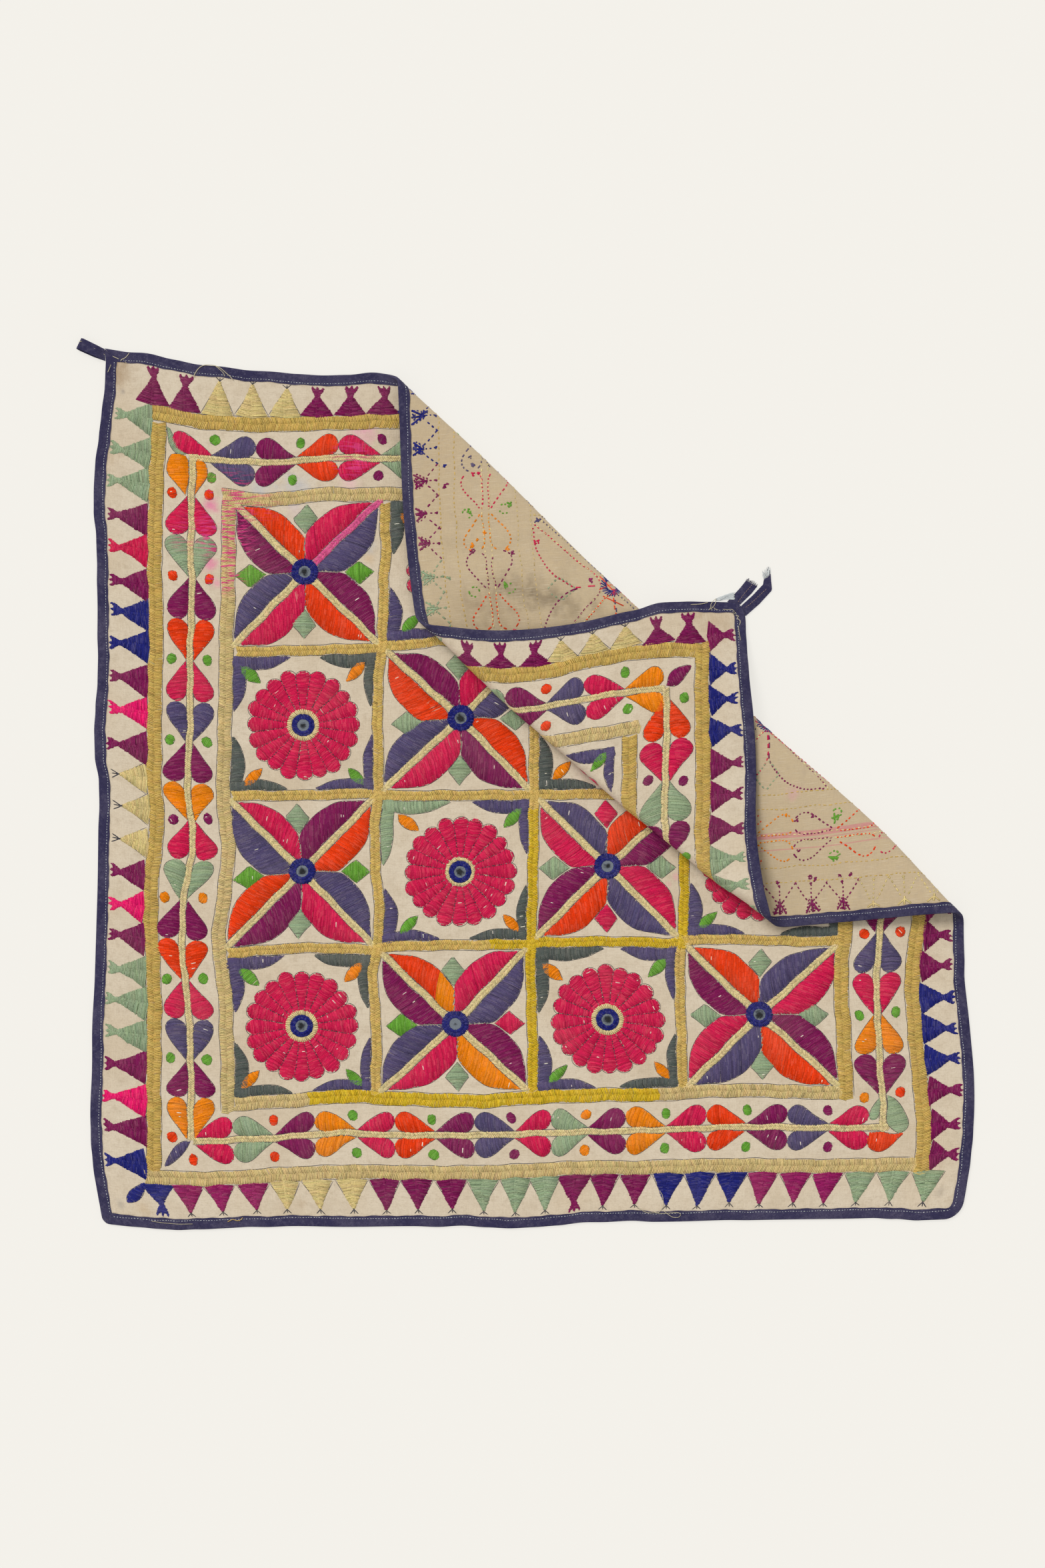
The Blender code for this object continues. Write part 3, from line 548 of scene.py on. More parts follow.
def sew(name, seed, rough=1.0, bow=0.0):
    """Turn the stitches gathered so far into one folded mesh with its own thread colours."""
    rand = np.random.RandomState(seed)
    count = len(stitches)
    start = np.array([s[0:3] for s in stitches]) * 0.001
    end = np.array([s[3:6] for s in stitches]) * 0.001
    width = np.array([s[6] for s in stitches]) * 0.001 * rand.uniform(0.86, 1.14, count)
    height = np.array([s[7] for s in stitches]) * 0.001 * rand.uniform(0.75, 1.25, count)
    side = np.array([s[9] for s in stitches])
    colour = np.array([linear(THREADS[s[8]]) for s in stitches])
    tone = rand.uniform(0.87, 1.10, count) * np.where(rand.rand(count) < 0.05, 0.82, 1.0)
    colour = colour * tone[:, None] * rand.uniform(0.96, 1.04, (count, 3))
    run = end[:, :2] - start[:, :2]
    length = np.linalg.norm(run, axis=1)
    run /= length[:, None]
    across = np.stack([-run[:, 1], run[:, 0]], axis=1)
    loose = rough * 0.00028
    start[:, :2] += run * rand.normal(0, loose, (count, 1)) + across * rand.normal(0, loose * 0.5,
                                                                                   (count, 1))
    end[:, :2] += run * rand.normal(0, loose, (count, 1)) + across * rand.normal(0, loose * 0.5, (count,
                                                                                                  1))
    _, face_start = fold(np.concatenate([start[:, :2], start[:, 2:] * 0], axis=1))
    _, face_end = fold(np.concatenate([end[:, :2], end[:, 2:] * 0], axis=1))
    bend = 1 - np.sum(face_start * face_end, axis=1)
    kinds = np.where(bend > 0.03, 3, np.where(length > (0.0075 if bow else 0.014), 2, 1))

    places, faces, colours, strands, first = [], [], [], [], 0
    for kind, (corners, triangles) in enumerate((SHORT_BAR, LONG_BAR, BENT_BAR), 1):
        pick = np.flatnonzero(kinds == kind)
        if not len(pick):
            continue
        shoulder = np.minimum(0.25, 0.0007 / length[pick])[:, None]
        share = corners[None, :, 0]
        share = np.where(share < 0, 0.0, np.where(share > 1, 1.0, shoulder + share * (1 - 2 * shoulder)))
        inner = (corners[:, 0] > -0.5) & (corners[:, 0] < 1.5)
        flat = start[pick, None, :] * (1 - share[..., None]) + end[pick, None, :] * share[..., None]
        sideways = corners[None, :, 1] * width[pick, None] / 2 * inner
        middle = 1 - np.abs(share * 2 - 1)
        sway = bow * np.minimum(length[pick], 0.012)[:, None] * middle if kind > 1 else 0.0
        flat[..., :2] += across[pick, None, :] * (sideways + sway)[..., None]
        up = np.where(corners[:, 2] > 0.5, 1.0, -0.25) * inner
        lift = flat[..., 2] + up[None, :] * height[pick, None] - 0.0002 * (1 - inner)
        flat[..., 2] = side[pick, None] * (CLOTH / 2 + lift)
        places.append(flat.reshape(-1, 3))
        turned = np.where(side[pick, None, None] > 0, triangles[None], triangles[None, :, ::-1])
        offset = first + np.arange(len(pick))[:, None, None] * len(corners)
        faces.append((turned + offset).reshape(-1, 3))
        colours.append(np.repeat(colour[pick], len(corners), axis=0))
        strand = np.zeros((len(pick), len(corners), 3))
        strand[..., 0] = share * length[pick, None]
        strand[..., 1] = sideways
        strand[..., 2] = rand.rand(len(pick))[:, None]
        strands.append(strand.reshape(-1, 3))
        first += len(pick) * len(corners)
    stitches.clear()
    places, faces = np.concatenate(places), np.concatenate(faces)
    colours, strands = np.concatenate(colours), np.concatenate(strands)
    folded, _ = fold(places)
    return thread_piece(name, folded, faces, colours, strands)


def thread_piece(name, places, faces, colours, strands):
    """A piece from arrays: corners, triangles, the dye at each corner and its place on its own thread."""
    mesh = bpy.data.meshes.new(name)
    mesh.vertices.add(len(places))
    mesh.vertices.foreach_set("co", places.ravel())
    mesh.loops.add(faces.size)
    mesh.loops.foreach_set("vertex_index", faces.ravel())
    mesh.polygons.add(len(faces))
    mesh.polygons.foreach_set("loop_start", np.arange(0, faces.size, 3))
    mesh.polygons.foreach_set("use_smooth", np.ones(len(faces), bool))
    mesh.attributes.new("dye", "FLOAT_COLOR", "POINT").data.foreach_set(
        "color", np.concatenate([colours, np.ones((len(colours), 1))], axis=1).ravel())
    mesh.attributes.new("strand", "FLOAT_VECTOR", "POINT").data.foreach_set("vector", strands.ravel())
    mesh.update(calc_edges=True)
    piece = bpy.data.objects.new(name, mesh)
    bpy.context.collection.objects.link(piece)
    return piece


def lay_lines(name, lines, seed, sides=3, folded=True):
    """Long threads and drawn lines in one piece. Each line is its points, in millimetres with a height off
    the cloth's middle layer, then its width, height and thread. Lines that aren't folded are in place."""
    rand = np.random.RandomState(seed)
    turns = np.radians(90 + 360 / sides * np.arange(sides))
    places, faces, colours, strands, first = [], [], [], [], 0
    for points, width, height, thread in lines:
        points = np.asarray(points, float) * 0.001
        run, left = normals_of(points[:, :2])
        gone = np.concatenate([[0], np.cumsum(np.linalg.norm(np.diff(points, axis=0), axis=1))])
        slim = np.clip(np.minimum(gone, gone[-1] - gone) / 0.0009, 0.3, 1)[:, None]
        ring = np.repeat(points[:, None, :], sides, axis=1)
        ring[..., :2] += left[:, None, :] * (np.cos(turns) * slim * width * 0.0005)[..., None]
        ring[..., 2] += np.sin(turns) * slim * height * 0.0005
        count = len(points)
        at = first + np.arange(count - 1)[:, None] * sides
        here, following = np.arange(sides), (np.arange(sides) + 1) % sides
        faces.append(np.stack([at + here, at + following, at + following + sides], axis=-1).reshape(-1,
                                                                                                    3))
        faces.append(np.stack([at + here, at + following + sides, at + here + sides],
                              axis=-1).reshape(-1, 3))
        last = first + (count - 1) * sides
        faces.append(np.array([(first, first + j + 1, first + j) for j in range(1, sides - 1)]))
        faces.append(np.array([(last, last + j, last + j + 1) for j in range(1, sides - 1)]))
        places.append(ring.reshape(-1, 3))
        colours.append(np.tile(linear(THREADS[thread]) * rand.uniform(0.88, 1.08), (count * sides, 1)))
        strand = np.zeros((count, sides, 3))
        strand[..., 0] = gone[:, None]
        strand[..., 1] = np.cos(turns) * width * 0.0005
        strand[..., 2] = rand.rand()
        strands.append(strand.reshape(-1, 3))
        first += count * sides
    places = np.concatenate(places)
    if folded:
        places, _ = fold(places)
    return thread_piece(name, places, np.concatenate(faces), np.concatenate(colours),
                        np.concatenate(strands))


def wander(points):
    """The small wander of a hand that follows a drawn line, in millimetres."""
    x, y = points[:, 0], points[:, 1]
    dx = 0.45 * np.sin(x * 0.071 + y * 0.113 + 0.7) + 0.30 * np.sin(y * 0.231 - x * 0.053 + 2.0)
    dy = 0.45 * np.sin(x * 0.121 - y * 0.067 + 1.3) + 0.30 * np.sin(x * 0.217 + y * 0.041 + 4.1)
    return points + np.stack([dx, dy], axis=1)


def smooth_line(points, spacing):
    """Even steps along a smooth curve through a few points."""
    points = np.asarray(points, float)
    ends = np.concatenate([[2 * points[0] - points[1]], points, [2 * points[-1] - points[-2]]])
    run = []
    for i in range(len(points) - 1):
        run.append(spline(*ends[i:i + 4], np.linspace(0, 1, 24, endpoint=False)[:, None]))
    run = np.concatenate(run + [points[-1:]])
    gone = np.concatenate([[0], np.cumsum(np.linalg.norm(np.diff(run, axis=0), axis=1))])
    at = np.linspace(0, gone[-1], max(2, int(round(gone[-1] / spacing)) + 1))
    return np.stack([np.interp(at, gone, run[:, 0]), np.interp(at, gone, run[:, 1])], axis=1)


def normals_of(line):
    """Unit directions along a line and to its left."""
    run = np.gradient(line, axis=0)
    run /= np.linalg.norm(run, axis=1)[:, None]
    return run, np.stack([-run[:, 1], run[:, 0]], axis=1)


BAND_THREAD = (2.5, 0.62)           # width and height of a stitch in a band
FILL_THREAD = (2.3, 0.55)           # and in a filled shape
CAUGHT_EVERY = 0.0061               # metres
drawn = []          # inked lines, kept for the drawn pattern


def ink(points, spacing=4.4):
    """Remember a drawn line, for the drawn pattern."""
    drawn.append(smooth_line(points, spacing))


back_marks = []     # what shows of each thread on the back


def back_run(places, thread, width=2.1):
    """On the back a thread shows only as the small steps from one stitch to the next."""
    places = np.asarray(places)
    for i in range(0, len(places) - 2, 3):
        back_marks.append((places[i], places[i + 2], thread, width))


def crossed_band(points, width, thread, pitch=1.75, slant=0.30, change=()):
    """A band of two rows of slanted stitches. change lists (from, to, thread) as shares of its length."""
    line = wander(smooth_line(points, pitch))
    run, left = normals_of(line)
    reach = width / 2
    outer_left, outer_right = [], []
    for i, (spot, along, aside) in enumerate(zip(line, run, left)):
        share = i / (len(line) - 1)
        colour = thread
        for begin, finish, other in change:
            if begin <= share < finish:
                colour = other
        half = reach * (1 + 0.05 * np.sin(i * 0.21) + 0.03 * np.sin(i * 0.67 + 1))
        lead = along * slant * reach
        stitch(spot + aside * half, spot - aside * 0.12 * reach + lead, colour, *BAND_THREAD)
        stitch(spot - aside * half + along * pitch / 2, spot + aside * 0.12 * reach + lead + along
               * pitch / 2,
               colour, *BAND_THREAD)
        outer_left.append(spot + aside * half)
        outer_right.append(spot - aside * half)
    back_run(outer_left, thread, 1.3 if width > 9 else 2.0)
    back_run(outer_right, thread, 1.3 if width > 9 else 2.0)
    ink(line[::4] + left[::4] * (reach + 0.25))
    ink(line[::4] - left[::4] * (reach + 0.25))


# Middles of the frames, as drawn by hand: the outer ones first. Each is a list of x and y.
OUTER_LEFT = chart("""-411 405, -411 390, -411 355, -410.5 292, -411.7 230, -411.3 167, -411.9 105,
    -412.8 42, -414 11, -410.5 -31, -413 -62, -415.6 -94, -416 -125, -414 -156, -411.6 -187,
    -409.2 -219, -408.4 -250, -407.7 -312, -406.6 -344, -406.5 -375, -411 -410""")
OUTER_TOP = chart("""-420 415.5, -400 414, -370 412, -345 412.6, -300 414.8, -250 418.6, -200 420.6,
    -155 422, -80 424, 0 426, 80 428, 150 428, 200 427, 250 425.6, 300 430, 350 427.5, 400 422, 414 421""")
OUTER_RIGHT = chart("""423.6 430, 423 415, 420.3 380, 418.8 340, 417.5 300, 416.4 260, 415.3 220, 416 150,
    418 60, 420 -40, 424 -110, 425 -140, 421.9 -170, 417.2 -200, 414.7 -240, 414.8 -280, 416.9 -320,
    420.3 -360, 423.8 -400, 424 -424""")
OUTER_BOTTOM = chart("""-422 -420, -380 -418.8, -340 -419, -300 -418.3, -260 -416, -200 -413.6, -150 -414,
    -100 -414.8, -50 -413.8, 10 -411.7, 60 -411.7, 110 -413.8, 150 -412, 200 -411, 250 -412, 300 -414.4,
    350 -415, 400 -415.6, 415 -416""")
INNER_LEFT = chart("""-332.5 327, -331.3 300, -331.6 270, -332.8 225, -335.3 175, -334.4 130, -336.2 60,
    -338.6 0, -334.8 -30, -332.4 -60, -336.3 -110, -340.5 -150, -339 -172, -334 -200, -331.3 -225,
    -330 -260, -328 -300, -327 -344""")
INNER_TOP = chart("""-341 333.5, -300 331.3, -275 333.5, -250 338, -230 339.8, -200 339.7, -160 340.5,
    -80 342, 0 342, 80 343, 160 344, 262 345.6, 300 345.6, 349 343.8""")
INNER_RIGHT = chart("""341 336, 339.7 300, 339 270, 338.5 200, 338 100, 340 0, 343 -80, 344.4 -135,
    343.6 -160, 339 -200, 337.5 -250, 336.7 -300, 337.5 -338""")
INNER_BOTTOM = chart("""-320 -337, -300 -336.9, -260 -334.4, -240 -332.8, -200 -329, -160 -331.3,
    -100 -333.6, -50 -334.4, 0 -330.5, 60 -330.6, 130 -331, 165 -327.4, 200 -325.5, 250 -326.6,
    300 -330.5, 330 -331.5""")
crossed_band(OUTER_LEFT, 16.0, "ochre")
crossed_band(OUTER_TOP, 16.5, "ochre")
crossed_band(OUTER_RIGHT, 16.5, "ochre")
crossed_band(OUTER_BOTTOM, 15.8, "pale")
crossed_band(INNER_LEFT, 15.2, "pale")
crossed_band(INNER_TOP, 15.0, "pale")
crossed_band(INNER_RIGHT, 16.0, "ochre")
crossed_band(INNER_BOTTOM, 15.0, "pale", change=((0.12, 0.70, "yellow"),))
# The bars between the squares
BAR_1 = chart("""-165.3 331, -164 300, -162.5 275, -164.4 250, -165.3 200, -166 172, -169.5 120,
    -168.6 30, -170 0, -172.5 -31, -170.3 -78, -165.5 -125, -167 -160, -171.6 -200, -168 -250,
    -168.5 -325""")
BAR_2 = chart("1 333, 1 200, 1 100, 1 0, 1.5 -60, 1.5 -140, 1 -160, 1 -240, 0.5 -322")
BAR_3 = chart("""168 334, 168 200, 168 60, 167 -20, 167 -60, 167.5 -140, 164.5 -175, 163.5 -200, 162 -260,
    161.5 -319""")
ROW_1 = chart("""-325 162, -250 166, -180 169, -158 171.5, -120 174.5, -98 177, 0 176, 90 174, 160 173,
    250 172, 330 172""")
ROW_2 = chart("-330 3, -250 5, -180 7.5, -160 5, 0 6, 80 7, 170 8, 250 9, 332 9")
ROW_3 = chart("""-331 -170.5, -300 -168.7, -250 -164.8, -200 -165.3, -175 -166.7, -155 -163, -100 -161.4,
    -50 -160.8, 0 -159.8, 10 -158.6, 80 -158.6, 150 -158, 165 -155, 200 -152.3, 250 -155, 300 -159,
    335 -160.8""")
for line, change in ((ROW_1, ()), (ROW_2, ()), (ROW_3, ((0.43, 0.745, "yellow"),)),
                     (BAR_1, ()), (BAR_2, ((0.52, 1.0, "yellow"),)), (BAR_3, ((0.52, 0.76, "yellow"),))):
    crossed_band(line, 11.2, "gold", pitch=1.85, slant=0.48, change=change)
frames = sew("stitched_frames", 11)

floss = Nodes("embroidery_floss", {"Roughness": 0.48, "Specular IOR Level": 0.12})
dye = floss.attribute("dye", "Color")
strand = floss.attribute("strand")
spot = floss.node("ShaderNodeTexCoord").outputs["Object"]
# A long stitch is caught down every 5 to 7 mm: each length is a little darker or paler than the next, a
# random tone with painted highlight and shade where light catches the twisted thread
parts = floss.node("ShaderNodeSeparateXYZ", {0: strand}).outputs
length_number = floss.maths("ADD", floss.maths("DIVIDE", parts[0], CAUGHT_EVERY),
                            floss.maths("MULTIPLY", parts[2], 37.0))
which = floss.node("ShaderNodeCombineXYZ", {0: floss.maths("FLOOR", length_number),
                                            1: floss.maths("MULTIPLY", parts[2], 911.0)}).outputs[0]
tone = floss.node("ShaderNodeTexWhiteNoise", {"Vector": which}).outputs["Value"]
shade = floss.mix(floss.spread(tone, 0.0, 0.5, 0.17, 0.0), dye, (0.0, 0.0, 0.0, 1))
shade = floss.mix(floss.spread(tone, 0.5, 1.0, 0.0, 0.05), shade, (1.0, 0.86, 0.66, 1))
caught = floss.maths("ABSOLUTE", floss.maths("SUBTRACT", floss.maths("FRACT", length_number), 0.5))
# Painted shade in the small dip where each length is caught down; the same dip is also in the bump
dent = floss.spread(caught, 0.42, 0.50, 0.0, 0.24)
shade = floss.mix(dent, shade, (0.0, 0.0, 0.0, 1))
# Painted shade down both sides of each stitch, where it turns from the light and meets its neighbours
stitch_side_shade = floss.spread(floss.maths("ABSOLUTE", parts[1]), 0.00040, 0.00100, 0.0, 0.36)
shade = floss.mix(stitch_side_shade, shade, (0.0, 0.0, 0.0, 1))
faded = floss.spread(floss.noise(spot, 14.0, 3.0), 0.45, 0.75, 0.0, 0.05)
shade = floss.mix(faded, shade, rgb(214, 196, 168))
# Pink that ran from the crimson in the wash, in streaks along the threads of the upper left squares
streaks = floss.spread(floss.noise(floss.stretched(spot, (60.0, 420.0, 60.0)),
                                   1.0, 2.0), 0.50, 0.58)
for x, y, size, strength in ((-333, 320, 32, 0.75), (-334, 280, 30, 0.95), (-334, 240, 22, 0.9),
                             (-300, 322, 26, 0.35), (-376, 285, 22, 0.4), (-197, 366, 22, 0.7)):
    far = floss.from_point(spot, x, y)
    run_dye = floss.maths("MULTIPLY", floss.spread(far, size * 0.0005, size * 0.0013, strength, 0.0),
                          streaks)
    shade = floss.mix(run_dye, shade, rgb(226, 70, 140))
floss.link(shade, "Base Color")
turns = floss.stretched(strand, (5200.0, 6400.0, 3.0))
ply = floss.node("ShaderNodeTexWave", {"Vector": turns, "Scale": 0.25, "Distortion": 1.2, "Detail": 1.0},
                 bands_direction="DIAGONAL").outputs[1]
floss.bump(floss.maths("SUBTRACT", ply, floss.maths("MULTIPLY", dent, 3.0)), 0.45, 0.00020)
frames.data.materials.append(floss.material)
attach(frames, "root")

# Border of paired hearts: a cream rib runs along the middle of each side, with half hearts sewn
# across on both sides of it, tip to tip and round to round, and a dot beside each meeting of tips.
RIB_LEFT = chart("""-373.4 372, -372.7 339, -371.7 292, -372.3 261, -371.4 230, -373 199, -374.2 167,
    -373.8 136, -373 89, -374.5 58, -377.7 17, -375.3 -12, -372.5 -31, -371.4 -62, -374.8 -78,
    -379.8 -109, -380.8 -140, -379.7 -172, -376.4 -200, -371.4 -234, -369.5 -265, -367.2 -312,
    -366.7 -344, -367 -373""")
RIB_TOP = chart("""-377 371, -340 371.9, -300 373, -262 376.3, -230 380.6, -200 380.6, -160 380, -80 382,
    0 384, 80 385, 160 386, 230 386, 260 386.6, 300 388, 340 385.5, 378 381""")
RIB_RIGHT = chart("""380.8 382, 381.3 350, 378.4 300, 376 260, 376 220, 377 120, 379 20, 382 -80,
    384 -135, 381.3 -170, 378.4 -200, 376 -230, 375 -260, 374.5 -300, 376.4 -340, 378 -375""")
RIB_BOTTOM = chart("""-366 -377.5, -320 -377, -280 -376.2, -240 -372.6, -200 -369.8, -160 -372.2,
    -100 -372.8, -50 -372.2, 10 -370.6, 60 -371.4, 100 -372, 150 -369.8, 200 -367.5, 250 -368,
    300 -370.8, 345 -372.3, 381 -373""")
# Along each side: where the tip of a pair is, where its round end is, and its thread
HEARTS_LEFT = chart("""329 286 crimson, 240 285.6 sage, 238.7 194 purple, 148.7 194 orange,
    148.7 104 crimson, 59.7 103 slate, 58 15 purple, -27 14 amber, -27 -69 crimson, -112.5 -70 sage,
    -114 -157 purple, -201.5 -157.5 orange, -202 -243.7 crimson, -289 -244.3 slate, -290 -329.7 purple,
    -376 -330.3 amber""")
HEARTS_BOTTOM = chart("""-364 -322 crimson, -278.5 -321.5 sage, -277 -234 purple, -189.4 -233.5 amber,
    -188.5 -148 crimson, -104 -147.5 orange, -104 -62 purple, -19 -61.5 slate, -18.5 20.3 crimson,
    59.4 20.6 sage, 59.5 100.6 purple, 143.7 101 amber, 144 187.5 crimson, 229.7 188 orange,
    230 274.4 purple, 318 275 slate, 318.3 362 crimson""")
HEARTS_TOP = chart("""-353.4 -306.5 slate, -262.8 -306 purple, -262.5 -217.5 orange, -172 -217.5 crimson,
    -172 -129.5 sage, -87 -129 purple, -87 -44.7 slate, -2.2 -44.3 crimson, -2 40 amber,
    82.6 40.3 purple, 82.6 125 orange, 167.5 125.3 crimson, 167.5 209 sage, 253.7 210 purple,
    253.7 294.7 slate, 338 295 crimson, 338 380 amber""")
HEARTS_RIGHT = chart("""369 324 orange, 276 323 crimson, 276 228 sage, 186 227.5 purple, 186 142 slate,
    99 142 crimson, 99 57 amber, 12 57 purple, 12 -33 orange, -72 -33.5 crimson, -72 -112 sage,
    -154.5 -112.5 purple, -154.7 -199 slate, -246 -199.5 crimson, -246 -290.6 amber, -336 -291 purple""")
DOTS = chart("""-393 330 orange, -354 333 orange, -392 240 orange, -353 240 orange, -394.5 149 green,
    -354.6 151 green, -395 60 green, -355.6 61.5 green, -393 -26.5 purple, -354.6 -23.4 purple,
    -400.6 -112.5 amber, -359.4 -110.6 amber, -396 -201 green, -356.3 -199 green, -390 -287 green,
    -350.6 -287.5 green, -387 -373 orange, -365.6 -398 orange, -277.5 -355.6 orange, -278 -397 orange,
    -192.5 -350.6 green, -189 -391.6 green, -108 -355 green, -105.6 -394.7 green, -22.5 -353 purple,
    -18.8 -393.7 purple, 58 -352.5 amber, 57 -392 amber, 143.4 -351.6 green, 143.7 -391.6 green,
    231 -348.7 green, 231 -390 green, 317.5 -352 purple, 319.4 -393 purple, -350.6 392.5 green,
    -352.5 352 green, -259.4 396 green, -265.6 355 green, -171.9 401.6 purple, -174 361 purple,
    -88 403 green, -88 362 green, -2 404 green, -2 363 green, 82 405 green, 82 365 green,
    167 406 orange, 167 366 orange, 253.4 406.6 orange, 251.9 364.4 orange, 338.7 407.5 green,
    340 366.9 green, 400 369 green, 359 281 purple, 395.6 274 purple, 355 186 green, 397 186 green,
    357 99 orange, 400 99 orange, 358 12 green, 402 12 green, 361 -72 purple, 404 -72 purple,
    365.6 -155 orange, 405 -154 orange, 356 -246 green, 395 -244 green, 356.9 -338 amber,
    396 -334.4 orange""")


def fill(outline, degrees, thread, pitch=1.34, inked=True, change=None):
    """Close stitches side by side across a drawn shape, all in one direction. change gives a place,
    a reach and the thread that was used within it."""
    outline = wander(np.asarray(outline, float))
    run = heading(degrees)
    step = np.array([-run[1], run[0]])
    u, v = outline @ run, outline @ step
    following_u, following_v = np.roll(u, -1), np.roll(v, -1)
    starts, ends = [], []
    for row in np.arange(v.min() + pitch * 0.5, v.max(), pitch):
        cut = (v <= row) != (following_v <= row)
        share = (row - v[cut]) / (following_v[cut] - v[cut])
        meets = np.sort(u[cut] + share * (following_u[cut] - u[cut]))
        for a, b in zip(meets[::2], meets[1::2]):
            if b - a > 0.9:
                starts.append(run * a + step * row)
                ends.append(run * b + step * row)
                used = thread
                if change and np.linalg.norm(starts[-1] / 2 + ends[-1] / 2 - change[0]) < change[1]:
                    used = change[2]
                stitch(starts[-1], ends[-1], used, *FILL_THREAD)
                if b - a > 9 and chance.rand() < 0.013:
                    gone = a + (b - a) * chance.uniform(0.15, 0.5)
                    stitch(run * gone + step * row, run * (gone + chance.uniform(3.0, 6.4)) + step * row,
                           "white", 2.1, 0.72)
    back_run(starts, thread)
    back_run(ends[1:], thread)
    if inked:
        ink(np.concatenate([outline[::2], outline[:1]]))


def shape(points, per_corner=7):
    """A smooth outline through a few points."""
    points = list(points) + [points[0]]
    return smooth_line(points, np.sum(np.linalg.norm(np.diff(points, axis=0), axis=1))
                       / (per_corner * len(points)))[:-1]


# Half a heart in its own frame: along from tip to round end (0 to 1), and out from the rib (0 to 1)
HALF_HEART = ((0.00, 0.00), (0.14, 0.21), (0.32, 0.49), (0.50, 0.77), (0.65, 0.95), (0.77, 1.00), (0.88,
                                                                                                   0.93),
              (0.965, 0.74), (1.00, 0.50), (0.975, 0.26), (0.90, 0.07), (0.78, -0.03), (0.50, -0.05),
              (0.25, -0.03))
RIB_HALF = 3.7
HEART_OUT = 22.6


def heart_side(rib, hearts, upright):
    """Both halves of each heart along one side of the border."""
    rib = np.array(rib)
    along_axis = 1 if upright else 0
    order = np.argsort(rib[:, along_axis])
    for tip, round_end, thread in hearts:
        size = 1 + 0.05 * np.sin(tip * 0.37)
        for out in (-1, 1):
            outline = []
            for along, aside in HALF_HEART:
                at = tip + (round_end - tip) * along
                middle = np.interp(at, rib[order, along_axis], rib[order, 1 - along_axis])
                off = middle + out * (RIB_HALF + 0.4 + aside * HEART_OUT * size)
                outline.append((off, at) if upright else (at, off))
            lean = 17 * np.sin(tip * 0.9 + out)
            fill(shape(outline), (0 if upright else 90) + lean, thread)


heart_side(RIB_LEFT, HEARTS_LEFT, True)
heart_side(RIB_RIGHT, HEARTS_RIGHT, True)
heart_side(RIB_TOP, HEARTS_TOP, False)
heart_side(RIB_BOTTOM, HEARTS_BOTTOM, False)
left_hearts = sew("stitched_hearts", 21, bow=0.06)

# Corners, where the pairs don't fit: single leaves and half hearts
for degrees, thread, leaf in (
        (82, "crimson", "-352.5 375.5, -362 384, -376 394, -386 398.5, -393 397, -395.5 389, -391 380, "
                        "-382 375.5, -366 374"),
        (60, "sage", "-403 401, -399 399, -394 390, -388 381, -381 375, -385 373.6, -393 375, -399 383, "
                     "-401 392"),
        (8, "amber", "-378 329, -386 337, -396 347, -400 354, -400 366, -396 372.5, -386 374, "
                     "-378.5 368, -377 350"),
        (4, "amber", "-369 330, -363 341, -357 354, -357.5 363, -361 368, -369 368, -369 350"),
        (-80, "slate", "-368 -378, -375 -390, -386 -400, -398 -407, -394 -397, -385 -384, -376 -378"),
        (-70, "purple", "381.5 384, 386 396, 395 403, 410 404.5, 404 394, 395 385, 388 383"),
        (84, "orange", "363 -378, 361 -388, 366 -397, 376 -400, 385 -396, 393 -388, 400 -380, 388 -380, "
                       "376 -378"),
        (8, "sage", "381 -337, 390 -342, 400 -356, 404.5 -368, 403 -376, 396 -379.5, 388 -375, "
                    "382 -368, 381 -352"),
        (8, "sage", "373 -340, 367 -347, 362.5 -356, 364 -363, 370 -364, 373 -360, 374 -350")):
    fill(shape(chart(leaf)), degrees, thread)
for x, y, thread in DOTS:
    lean = 60 * np.sin(x * 1.3 + y * 0.7)
    round_dot = [(x + 5.3 * np.cos(a) * (1 + 0.10 * np.sin(2 * a + x)), y + 5.9 * np.sin(a))
                 for a in np.linspace(0, 2 * pi, 15)[:-1]]
    fill(shape(round_dot, 3), lean, thread, pitch=1.25)
for rib in (RIB_LEFT, RIB_TOP, RIB_RIGHT, RIB_BOTTOM):
    crossed_band(rib, 2 * RIB_HALF, "cream", pitch=1.9, slant=0.75)
ribs = sew("stitched_ribs_and_dots", 22)
for piece in (left_hearts, ribs):
    piece.data.materials.append(floss.material)
    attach(piece, "root")

# Outer border of triangles: they stand on the outer frame and point at the bound edge. Each is worked
# in two rows of stitches that cross on a ridge down its middle, and ends in three short leaves, except
# the cream ones, which were left with the drawn fork.
TRIANGLES_LEFT = chart("""406.5 sage, 369 sage, 334.7 sage, 297 purple, 263 crimson, 225 purple,
    192.5 blue, 158 blue, 120.6 purple, 86 pink, 47 purple, 14 straw, -19.5 straw, -56 straw,
    -92 purple, -127 pink, -161 purple, -197 sage, -231 sage, -267 sage, -301 purple, -337 pink,
    -370 purple, -407 blue""")
TRIANGLES_BOTTOM = chart("""-409.7 blue, -377 magenta, -342.5 magenta, -305 magenta, -270.6 straw,
    -234.7 straw, -197 straw, -161 purple, -126 purple, -88.4 purple, -54 sage, -18 sage, 14 sage,
    46 purple, 78.7 purple, 113 purple, 148.4 blue, 182.8 blue, 218 blue, 251.6 magenta, 288 magenta,
    322.8 magenta, 358.4 sage, 394.7 sage, 432 sage""")
TRIANGLES_RIGHT = chart("""436 purple, 399 blue, 364 blue, 327 blue, 289 purple, 252 purple, 214 purple,
    178.4 sage, 145 sage, 110 sage, 74 purple, 38 purple, 3 purple, -31 straw, -64 straw, -97 straw,
    -128 purple, -159.4 purple, -193.7 purple, -229.7 blue, -264 blue, -299 blue, -334.4 purple,
    -372.5 purple, -407 purple""")
